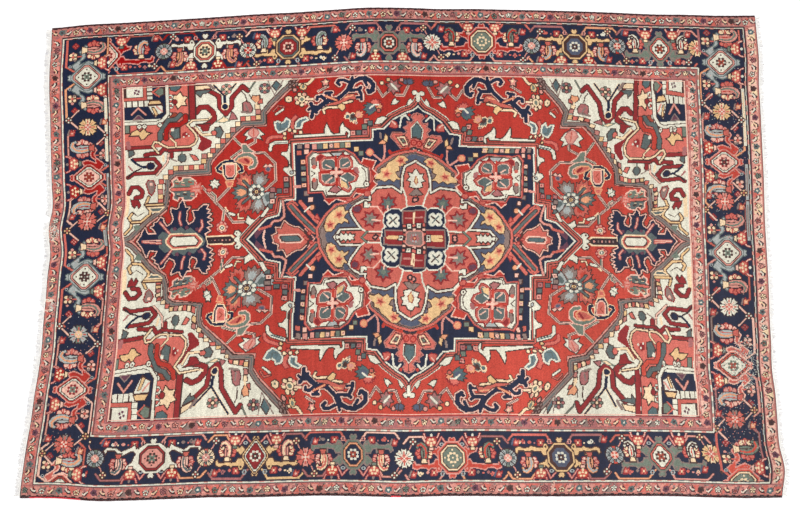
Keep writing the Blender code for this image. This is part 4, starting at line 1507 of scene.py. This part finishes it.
def addPile():
    cellsL, cellsW = knots["along"] // knots["block"], knots["across"] // knots["block"]
    deselectAll()
    bpy.ops.mesh.primitive_grid_add(x_subdivisions=cellsL, y_subdivisions=cellsW, size=1)
    obj = bpy.context.object
    obj.name = obj.data.name = "wovenRug"
    st = meshPoints(obj.data) + 0.5
    s, t = st[:, 0], st[:, 1]
    setPoints(obj.data, np.column_stack([laid(s, t), lift(s, t)]))
    weave = obj.data.uv_layers[0]
    weave.name = "weave"
    uv = np.empty(len(weave.uv) * 2, np.float32)
    weave.uv.foreach_get("vector", uv)
    weave.uv.foreach_set("vector", (uv.reshape(-1, 2) * (cellsL, cellsW)).astype(np.float32).ravel())
    solid = obj.modifiers.new("thickness", "SOLIDIFY")
    solid.thickness = rug["thick"]
    solid.offset = 1
    bpy.ops.object.modifier_apply(modifier=solid.name)
    rimRound = obj.modifiers.new("rim", "BEVEL")
    rimRound.width = rug["rim"]
    rimRound.segments = 2
    rimRound.limit_method = "ANGLE"
    rimRound.angle_limit = math.radians(rug["rimAngle"])
    bpy.ops.object.modifier_apply(modifier=rimRound.name)
    bpy.ops.object.shade_smooth_by_angle(angle=math.radians(rug["smoothAngle"]))
    # each face carries the sixteen knots at its own place in the weave
    mesh = obj.data
    uv = np.empty(len(mesh.loops) * 2, np.float32)
    mesh.uv_layers["weave"].uv.foreach_get("vector", uv)
    starts = np.empty(len(mesh.polygons), np.int32)
    totals = np.empty(len(mesh.polygons), np.int32)
    mesh.polygons.foreach_get("loop_start", starts)
    mesh.polygons.foreach_get("loop_total", totals)
    middle = np.add.reduceat(uv.reshape(-1, 2), starts, axis=0) / totals[:, None]
    column = np.clip(middle[:, 0].astype(int), 0, cellsL - 1)
    row = np.clip(middle[:, 1].astype(int), 0, cellsW - 1)
    rows = mesh.attributes.new("knotRows", "FLOAT_COLOR", "FACE")
    rows.data.foreach_set("color", packRows()[row, column].astype(np.float32).ravel())
    return obj


wovenRug = addPile()
print("rug woven", len(wovenRug.data.polygons), "faces")


# round threads, from centre lines (thread, station, xyz) and radii (thread, station)
def threadMesh(paths, radii, sides):
    count, stations = radii.shape
    run = np.gradient(paths, axis=1)
    run /= np.linalg.norm(run, axis=2, keepdims=True)
    beside = np.cross(run, (0.0, 0.0, 1.0))
    beside /= np.linalg.norm(beside, axis=2, keepdims=True)
    above = np.cross(beside, run)
    turn = (np.arange(sides) + 0.5) / sides * 2 * math.pi
    ring = np.cos(turn)[:, None] * beside[:, :, None, :] + np.sin(turn)[:, None] * above[:, :, None, :]
    points = paths[:, :, None, :] + radii[:, :, None, None] * ring
    number = np.arange(count * stations * sides).reshape(count, stations, sides)
    here, ahead = number[:, :-1], number[:, 1:]
    quads = np.stack([here, ahead, np.roll(ahead, -1, axis=2), np.roll(here, -1, axis=2)], axis=3)
    caps = np.concatenate([number[:, 0], number[:, -1, ::-1]])
    return points.reshape(-1, 3), quads.reshape(-1, 4).tolist() + caps.tolist()


def addMesh(name, points, faces):
    mesh = bpy.data.meshes.new(name)
    mesh.from_pydata(points.tolist(), [], faces)
    mesh.polygons.foreach_set("use_smooth", np.ones(len(mesh.polygons), bool))
    mesh.update()
    obj = bpy.data.objects.new(name, mesh)
    bpy.context.scene.collection.objects.link(obj)
    return obj


def keepValues(obj, name, values):
    store = obj.data.attributes.new(name, "FLOAT", "POINT")
    store.data.foreach_set("value", np.asarray(values, np.float32).ravel())


def edgeLine(s, t):
    points = laid(s, t)
    run = np.gradient(points, axis=0)
    run /= np.linalg.norm(run, axis=1, keepdims=True)
    return points, np.stack([-run[:, 1], run[:, 0]], axis=1)


def wandering(share, values):
    # values spread evenly along an edge and joined by straight runs
    return np.interp(share, np.linspace(0, 1, len(values)), values)


# selvedges: a dark wool cord wrapped along each long edge
selvedge = {
    "radius": 0.0030,
    "wraps": 1180,  # turns of the wrapping wool along the edge
    "ridge": 0.07,
    "slack": 0.00022,  # how far the cord wanders, at this many places
    "slackPlaces": 260,
    "uneven": 0.05,  # share by which its radius varies, at this many places
    "unevenPlaces": 420,
    "sides": 8,
    "mended": ((0.012, 0.080), (0.487, 0.500)),  # red repairs on the near edge, as shares of its length
}


def addSelvedge(name, across, side):
    stations = 2 * selvedge["wraps"] + 1
    s = np.linspace(0, 1, stations)
    points, sideways = edgeLine(s, np.full_like(s, across))
    rng = np.random.default_rng(11 if side > 0 else 12)
    slack = wandering(s, rng.normal(0, selvedge["slack"], selvedge["slackPlaces"]))
    uneven = wandering(s, rng.normal(1, selvedge["uneven"], selvedge["unevenPlaces"]))
    centre = points + side * sideways * (rug["gap"] + selvedge["radius"] + slack)[:, None]
    radius = selvedge["radius"] * uneven * (1 - selvedge["ridge"] * (np.arange(stations) % 2))
    radius = np.minimum(radius, 1.05 * selvedge["radius"])
    path = np.column_stack([centre, lift(s, np.full_like(s, across)) + radius])
    obj = addMesh(name, *threadMesh(path[None], radius[None], selvedge["sides"]))
    mend = np.zeros(stations)
    for first, last in selvedge["mended"] if side < 0 else ():
        mend[(s > first) & (s < last)] = 1
    keepValues(obj, "mended", np.repeat(mend, selvedge["sides"]))
    keepValues(obj, "share", np.repeat(s, selvedge["sides"]))
    return obj


selvedgeFar = addSelvedge("selvedgeFar", 1.0, 1)
selvedgeNear = addSelvedge("selvedgeNear", 0.0, -1)
print("selvedges wrapped")


# fringes: a narrow flat-woven end, and the warp ends that come out of it
fringe = {
    "stripWidth": 0.0062,
    "stripThick": 0.0024,
    "stripEnds": (0.0006, 0.9994),  # as shares of the rug's width
    "stripRise": 0.0001,
    "stripSlope": (1.0, 1.0, 0.92, 0.8, 0.5),  # share of the thickness, outwards
    "strands": 2500,
    "bunch": 7,  # warp ends that lean together
    "radius": 0.00050,
    "lean": 0.0035,
    "stray": 0.0016,
    "stations": 6,
    "sides": 4,
    # longest reach past the cloth in metres, and thin places as (share, half width, length left)
    "left": {"along": 0.0, "side": -1, "reach": 0.0335, "thin": ((0.572, 0.008, 0.25), (0.385, 0.006, 0.5))},
    "right": {"along": 1.0, "side": 1, "reach": 0.0285, "thin": ((0.30, 0.010, 0.6), (0.80, 0.008, 0.55))},
}


def fringeStrip(end):
    t = np.linspace(*fringe["stripEnds"], 500)
    points, sideways = edgeLine(np.full_like(t, end["along"]), t)
    rng = np.random.default_rng(5)
    frayed = wandering(t, rng.uniform(0.72, 1.0, 240))
    slope = np.array(fringe["stripSlope"])
    reach = rug["gap"] + np.outer(frayed, np.linspace(0, 1, len(slope))) * fringe["stripWidth"]
    flat = points[:, None] - end["side"] * sideways[:, None] * reach[..., None]
    high = np.dstack([flat, np.broadcast_to(fringe["stripThick"] * slope, reach.shape)])
    low = np.dstack([flat, np.full(reach.shape, fringe["stripRise"])])
    count, wide = reach.shape
    number = np.arange(2 * count * wide).reshape(2, count, wide)

    def skin(rows):
        return np.stack([rows[:-1, :-1], rows[1:, :-1], rows[1:, 1:], rows[:-1, 1:]], axis=-1).reshape(-1, 4)

    around = np.concatenate([number[:, :, 0], number[::-1, :, -1]])
    ends = np.stack([number[0, [0, -1]], number[1, [0, -1]]])
    faces = [
        skin(number[0]), skin(number[1])[:, ::-1],
        skin(around[:2].T)[:, ::-1], skin(around[2:].T)[:, ::-1],
        skin(ends[:, 0])[:, ::-1], skin(ends[:, 1]),
    ]
    faces = np.concatenate(faces)
    # the rows run near to far, so outwards to the left turns every face over
    if end["side"] > 0:
        faces = faces[:, ::-1]
    return np.concatenate([high.reshape(-1, 3), low.reshape(-1, 3)]), faces[:, ::-1]


def fringeStrands(end):
    rng = np.random.default_rng(21 if end["side"] < 0 else 22)
    count, stations, sides = fringe["strands"], fringe["stations"], fringe["sides"]
    t = np.sort(np.clip((np.arange(count) + rng.uniform(0, 1, count)) / count, 0.0012, 0.9988))
    edgeT = np.linspace(0, 1, 400)
    points, sideways = edgeLine(np.full_like(edgeT, end["along"]), edgeT)
    base = np.column_stack([np.interp(t, edgeT, points[:, k]) for k in (0, 1)])
    away = np.column_stack([np.interp(t, edgeT, -end["side"] * sideways[:, k]) for k in (0, 1)])
    aside = np.column_stack([-away[:, 1], away[:, 0]])
    bunch = (np.arange(count) + rng.integers(-2, 3, count)) // fringe["bunch"]
    bunch = np.clip(bunch, 0, count // fringe["bunch"])
    bunches = bunch.max() + 1
    middle = np.interp(np.arange(bunches), np.linspace(0, bunches - 1, 60), rng.normal(0, 1, 60))
    lean = fringe["lean"] * (0.7 * rng.normal(0, 1, bunches) + 0.8 * middle)[bunch]
    own = np.interp(np.arange(bunches), np.linspace(0, bunches - 1, 90), rng.uniform(0.82, 1.0, 90))
    length = end["reach"] * own[bunch] * rng.uniform(0.78, 1.02, bunches)[bunch]
    length = length * rng.uniform(0.86, 1.0, count)
    for share, half, left in end["thin"]:
        close = np.clip(1 - np.abs(t - share) / half, 0, 1)
        length = length * (1 - (1 - left) * np.minimum(1, 2 * close))
    centre = np.zeros(bunches)
    np.add.at(centre, bunch, t)
    centre = (centre / np.maximum(np.bincount(bunch, minlength=bunches), 1))[bunch]
    gather = (centre - t) * rug["width"]
    f = np.linspace(0, 1, stations)[None, :]
    out = fringe["stripWidth"] * 0.55 + (length - fringe["stripWidth"] * 0.55)[:, None] * f
    wander = fringe["stray"] * rng.normal(0, 1, (count, 1)) * np.sin(2.6 * f + rng.uniform(0, 6, (count, 1)))
    across = (lean[:, None] * f**1.6 + 0.55 * gather[:, None] * f**0.5 + wander * f)
    flat = base[:, None] + away[:, None] * out[..., None] + aside[:, None] * across[..., None]
    radius = fringe["radius"] * rng.uniform(0.8, 1.1, (count, 1)) * (1 - 0.45 * f**2)
    over = rng.uniform(0.0, 0.0011, (count, 1)) * np.sin(np.pi * np.clip(0.15 + 0.8 * f, 0, 1))
    height = radius + over + 0.0010 * (1 - f) ** 3
    paths = np.dstack([flat, height])
    points, faces = threadMesh(paths, radius, sides)
    tone = np.repeat(rng.uniform(0, 1, count), stations * sides)
    share = np.repeat(np.broadcast_to(f, radius.shape).ravel(), sides)
    return points, faces, tone, share


def addFringe(name, end):
    stripPoints, stripFaces = fringeStrip(end)
    points, faces, tone, share = fringeStrands(end)
    allPoints = np.concatenate([stripPoints, points])
    moved = [[corner + len(stripPoints) for corner in face] for face in faces]
    obj = addMesh(name, allPoints, stripFaces.tolist() + moved)
    keepValues(obj, "tone", np.concatenate([np.full(len(stripPoints), 0.5), tone]))
    keepValues(obj, "share", np.concatenate([np.zeros(len(stripPoints)), share]))
    return obj


fringeLeft = addFringe("fringeLeft", fringe["left"])
fringeRight = addFringe("fringeRight", fringe["right"])
print("fringes laid", len(fringeLeft.data.polygons), "faces each")


# materials
def add(tree, kind, **settings):
    made = tree.nodes.new(kind)
    made.location = (len(tree.nodes) % 12 * 190, -(len(tree.nodes) // 12) * 260)
    for key, value in settings.items():
        setattr(made, key, value)
    return made


def feed(tree, value, socket):
    if isinstance(value, bpy.types.NodeSocket):
        tree.links.new(value, socket)
    else:
        socket.default_value = value


def calc(tree, operation, *values):
    made = add(tree, "ShaderNodeMath", operation=operation)
    for value, socket in zip(values, made.inputs):
        feed(tree, value, socket)
    return made.outputs[0]


def ranged(tree, value, low, high, toLow, toHigh):
    made = add(tree, "ShaderNodeMapRange")
    for number, item in enumerate((value, low, high, toLow, toHigh)):
        feed(tree, item, made.inputs[number])
    return made.outputs[0]


def mixed(tree, mode, factor, first, second):
    made = add(tree, "ShaderNodeMix", data_type="RGBA", blend_type=mode)
    feed(tree, factor, made.inputs[0])
    feed(tree, first, made.inputs[6])
    feed(tree, second, made.inputs[7])
    return made.outputs[2]


def dimmed(tree, colour, gain):
    # a colour times a plain number
    grey = add(tree, "ShaderNodeCombineColor")
    for socket in grey.inputs:
        feed(tree, gain, socket)
    return mixed(tree, "MULTIPLY", 1.0, colour, grey.outputs[0])


def keptValue(tree, name):
    return add(tree, "ShaderNodeAttribute", attribute_name=name, attribute_type="GEOMETRY").outputs


def noise(tree, place, scale, detail=2.0, rough=0.5):
    made = add(tree, "ShaderNodeTexNoise")
    feed(tree, place, made.inputs["Vector"])
    feed(tree, scale, made.inputs["Scale"])
    made.inputs["Detail"].default_value = detail
    made.inputs["Roughness"].default_value = rough
    return made.outputs[0]


def stretched(tree, place, scale):
    made = add(tree, "ShaderNodeMapping")
    feed(tree, place, made.inputs["Vector"])
    made.inputs["Scale"].default_value = scale
    return made.outputs[0]


def newGroup(name, inputs, outputs):
    tree = bpy.data.node_groups.new(name, "ShaderNodeTree")
    for label, kind, value in inputs:
        socket = tree.interface.new_socket(label, in_out="INPUT", socket_type=kind)
        if value is not None:
            socket.default_value = value
    for label, kind in outputs:
        tree.interface.new_socket(label, in_out="OUTPUT", socket_type=kind)
    return tree, add(tree, "NodeGroupInput").outputs, add(tree, "NodeGroupOutput").inputs


def useGroup(tree, group, **given):
    made = add(tree, "ShaderNodeGroup", node_tree=group)
    for name, value in given.items():
        feed(tree, value, made.inputs[name])
    return made.outputs


def knotReaderGroup():
    tree, given, result = newGroup(
        "knotReader",
        [("Rows", "NodeSocketColor", None), ("Fourth", "NodeSocketFloat", None),
         ("Weave", "NodeSocketVector", None)],
        [("Wool", "NodeSocketFloat")],
    )
    split = add(tree, "ShaderNodeSeparateColor")
    feed(tree, given["Rows"], split.inputs[0])
    place = add(tree, "ShaderNodeSeparateXYZ")
    feed(tree, given["Weave"], place.inputs[0])
    column = calc(tree, "FLOOR", calc(tree, "MULTIPLY", calc(tree, "FRACT", place.outputs[0]), 4.0))
    row = calc(tree, "FLOOR", calc(tree, "MULTIPLY", calc(tree, "FRACT", place.outputs[1]), 4.0))
    packed, below, base = 0.0, 0.0, knots["base"]
    for number, source in enumerate((*split.outputs, given["Fourth"])):
        isRow = calc(tree, "COMPARE", row, float(number), 0.5)
        packed = calc(tree, "MULTIPLY_ADD", source, isRow, packed)
        isColumn = calc(tree, "COMPARE", column, float(number), 0.5)
        below = calc(tree, "MULTIPLY_ADD", isColumn, base**number, below)
    whole = calc(tree, "FLOOR", calc(tree, "DIVIDE", packed, below))
    beyond = calc(tree, "MULTIPLY", calc(tree, "FLOOR", calc(tree, "DIVIDE", whole, base)), base)
    wool = calc(tree, "SUBTRACT", whole, beyond)
    feed(tree, calc(tree, "DIVIDE", calc(tree, "ADD", wool, 0.5), base), result["Wool"])
    return tree


def abrashGroup():
    # bands of slightly different dye lots, running the way the wefts run
    tree, given, result = newGroup(
        "abrash",
        [("Place", "NodeSocketVector", None), ("Colour", "NodeSocketColor", None),
         ("Amount", "NodeSocketFloat", 1.0)],
        [("Colour", "NodeSocketColor")],
    )
    broad = noise(tree, stretched(tree, given["Place"], (3.2, 0.35, 0.0)), 1.0)
    narrow = noise(tree, stretched(tree, given["Place"], (60.0, 2.2, 0.0)), 1.0)
    spread = calc(tree, "MULTIPLY_ADD", calc(tree, "SUBTRACT", broad, 0.5), 0.55, 0.0)
    spread = calc(tree, "MULTIPLY_ADD", calc(tree, "SUBTRACT", narrow, 0.5), 0.50, spread)
    gain = calc(tree, "MULTIPLY_ADD", spread, given["Amount"], 1.0)
    feed(tree, dimmed(tree, given["Colour"], gain), result["Colour"])
    return tree


def fibreGroup():
    # fuzz of single fibres: a height, and a random colour change tied to it, with painted shade in the
    # hollows and painted highlight on the tops
    tree, given, result = newGroup(
        "fibre",
        [("Place", "NodeSocketVector", None), ("Colour", "NodeSocketColor", None),
         ("Scale", "NodeSocketFloat", 900.0), ("Contrast", "NodeSocketFloat", 0.3)],
        [("Colour", "NodeSocketColor"), ("Height", "NodeSocketFloat")],
    )
    height = noise(tree, given["Place"], given["Scale"], 3.0, 0.65)
    # the colour follows the height: painted shade in the hollows, painted highlight on the tops
    paintedRelief = calc(tree, "MULTIPLY", calc(tree, "SUBTRACT", height, 0.5), given["Contrast"])
    gain = calc(tree, "ADD", 1.0, calc(tree, "MULTIPLY", paintedRelief, 2.0))
    feed(tree, dimmed(tree, given["Colour"], gain), result["Colour"])
    feed(tree, height, result["Height"])
    return tree


knotReader = knotReaderGroup()
abrash = abrashGroup()
fibre = fibreGroup()

finish = {
    "specular": 0.02,
    "roughness": 0.95,  # before the fibres change it
    "dye": 0.72,  # the wools' strength under the studio lights
    "jitter": 0.21,  # change from knot to knot
    "fadedMadder": (208, 84, 66),  # at the near right corner
    "worn": 0.05,  # there too, on every wool
    "wornTo": (168, 160, 160),
    "cord": (70, 40, 42),
    "cordRed": (196, 52, 62),
    "cotton": (240, 237, 232),
    "cottonGrey": (160, 158, 168),
}
# fibre scale and contrast of the painted shade and highlight that follow the fibres' height, strength and
# depth of the bump, roughness in the hollows and on the tops
surfaces = {
    "knottedWool": (700.0, 0.22, 0.35, 0.0012, 1.0, 0.86),
    "overcastWool": (1400.0, 0.5, 0.5, 0.0006, 0.98, 0.8),
    "fringeCotton": (1100.0, 0.25, 0.4, 0.0004, 0.98, 0.82),
}


def newMaterial(name, roughness):
    made = bpy.data.materials.new(name)
    made.use_nodes = True
    shader = made.node_tree.nodes["Principled BSDF"]
    shader.inputs["Specular IOR Level"].default_value = finish["specular"]
    shader.inputs["Roughness"].default_value = roughness
    return made, made.node_tree, shader


def newFabric(name):
    made, tree, shader = newMaterial(name, finish["roughness"])
    return made, tree, shader, add(tree, "ShaderNodeTexCoord").outputs["Object"]


def finishFabric(tree, shader, place, colour, name):
    # every fabric ends in its fibres: in its colour, with painted shade in the hollows and painted highlight
    # on the tops, its bump and its roughness
    scale, shadeContrast, strength, depth, hollow, top = surfaces[name]
    worked = useGroup(tree, fibre, Place=place, Colour=colour, Scale=scale, Contrast=shadeContrast)
    feed(tree, worked["Colour"], shader.inputs["Base Color"])
    bump = add(tree, "ShaderNodeBump")
    bump.inputs["Strength"].default_value = strength
    bump.inputs["Distance"].default_value = depth
    feed(tree, worked["Height"], bump.inputs["Height"])
    feed(tree, bump.outputs[0], shader.inputs["Normal"])
    feed(tree, ranged(tree, worked["Height"], 0.3, 0.7, hollow, top), shader.inputs["Roughness"])


def woolMaterial(name):
    made, tree, shader, place = newFabric(name)
    rows = keptValue(tree, "knotRows")
    weave = add(tree, "ShaderNodeUVMap", uv_map="weave").outputs[0]
    wool = useGroup(tree, knotReader, Rows=rows["Color"], Fourth=rows["Alpha"], Weave=weave)["Wool"]
    ramp = add(tree, "ShaderNodeValToRGB")
    ramp.color_ramp.interpolation = "CONSTANT"
    stops = ramp.color_ramp.elements
    for number, colour in enumerate(wools.values()):
        stop = stops[number] if number < 2 else stops.new(number / knots["base"])
        stop.position = number / knots["base"]
        stop.color = linear(colour)
    feed(tree, wool, ramp.inputs["Fac"])
    # one value for each knot
    knotPlace = add(tree, "ShaderNodeVectorMath", operation="FLOOR")
    feed(tree, stretched(tree, weave, (4.0, 4.0, 1.0)), knotPlace.inputs[0])
    chance = add(tree, "ShaderNodeTexWhiteNoise", noise_dimensions="2D")
    feed(tree, knotPlace.outputs[0], chance.inputs["Vector"])
    dye, jitter = finish["dye"], finish["jitter"]
    gain = ranged(tree, chance.outputs["Value"], 0.0, 1.0, dye * (1 - jitter), dye * (1 + jitter))
    # the near right corner has seen most sun, and the madder shows it
    spot = add(tree, "ShaderNodeSeparateXYZ")
    feed(tree, place, spot.inputs[0])
    sun = calc(tree, "MULTIPLY_ADD", spot.outputs[0], 0.5 / rug["length"], 0.5)
    sun = calc(tree, "MULTIPLY_ADD", spot.outputs[1], -0.5 / rug["width"], sun)
    isMadder = calc(tree, "COMPARE", wool, 0.5 / knots["base"], 0.01)
    madderSun = calc(tree, "MULTIPLY", isMadder, ranged(tree, sun, 0.12, 1.0, 0.0, 1.0))
    colour = mixed(tree, "MIX", madderSun, ramp.outputs["Color"], linear(finish["fadedMadder"]))
    colour = dimmed(tree, colour, gain)
    wornShare = calc(tree, "MULTIPLY", sun, finish["worn"])
    colour = mixed(tree, "MIX", wornShare, colour, linear(finish["wornTo"]))
    colour = useGroup(tree, abrash, Place=place, Colour=colour)["Colour"]
    finishFabric(tree, shader, place, colour, name)
    return made


def cordMaterial(name):
    made, tree, shader, place = newFabric(name)
    mended = keptValue(tree, "mended")["Fac"]
    colour = mixed(tree, "MIX", mended, linear(finish["cord"]), linear(finish["cordRed"]))
    colour = useGroup(tree, abrash, Place=place, Colour=colour, Amount=2.2)["Colour"]
    finishFabric(tree, shader, place, colour, name)
    return made


def cottonMaterial(name):
    made, tree, shader, place = newFabric(name)
    tone, share = (keptValue(tree, value)["Fac"] for value in ("tone", "share"))
    # the strands turn grey towards their tips, the more the higher their tone
    tips = ranged(tree, share, 0.1, 0.7, 0.1, 0.9)
    tipGrey = calc(tree, "MULTIPLY", tips, ranged(tree, tone, 0.5, 1.0, 0.0, 1.0))
    colour = mixed(tree, "MIX", tipGrey, linear(finish["cotton"]), linear(finish["cottonGrey"]))
    finishFabric(tree, shader, place, colour, name)
    return made


cordWool = cordMaterial("overcastWool")
cotton = cottonMaterial("fringeCotton")
dressing = (
    (wovenRug, "pile", "knotted_wool", woolMaterial("knottedWool")),
    (selvedgeFar, "selvedge_far", "overcast_wool", cordWool),
    (selvedgeNear, "selvedge_near", "overcast_wool", cordWool),
    (fringeLeft, "fringe_left", "fringe_cotton", cotton),
    (fringeRight, "fringe_right", "fringe_cotton", cotton),
)
for piece, node, slot, material in dressing:
    piece.data.materials.clear()
    piece.data.materials.append(material)
    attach(piece, "root")
    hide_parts(node)
print("materials made")


# studio
studio = {
    "floor": (0.86, 0.86, 0.86),
    "floorRoughness": 0.9,
    "floorSize": 14,
    "floorPlace": (0, 0, -0.0004),  # just under the rug
    "sky": 0.75,
    "keyWatts": 260.0,
    "keySize": (6.0, 5.0),
    "keyPlace": (0.2, -0.15, 4.8),
}


def addStudio():
    deselectAll()
    bpy.ops.mesh.primitive_plane_add(size=studio["floorSize"], location=studio["floorPlace"])
    floor = bpy.context.object
    floor.name = floor.data.name = "floor"
    made, tree, shader = newMaterial("floorPaint", studio["floorRoughness"])
    shader.inputs["Base Color"].default_value = (*studio["floor"], 1)
    shader.inputs["Specular IOR Level"].default_value = 0.0
    floor.data.materials.append(made)
    world = bpy.data.worlds.new("studio")
    bpy.context.scene.world = world
    world.use_nodes = True
    sky = world.node_tree.nodes["Background"].inputs
    sky["Color"].default_value = (1, 1, 1, 1)
    sky["Strength"].default_value = studio["sky"]
    light = bpy.data.lights.new("softbox", "AREA")
    light.shape = "RECTANGLE"
    light.size, light.size_y = studio["keySize"]
    light.energy = studio["keyWatts"]
    lamp = bpy.data.objects.new("softbox", light)
    bpy.context.scene.collection.objects.link(lamp)
    lamp.location = studio["keyPlace"]
    bpy.context.scene.view_settings.view_transform = "Standard"
    bpy.context.scene.view_settings.look = "None"


addStudio()
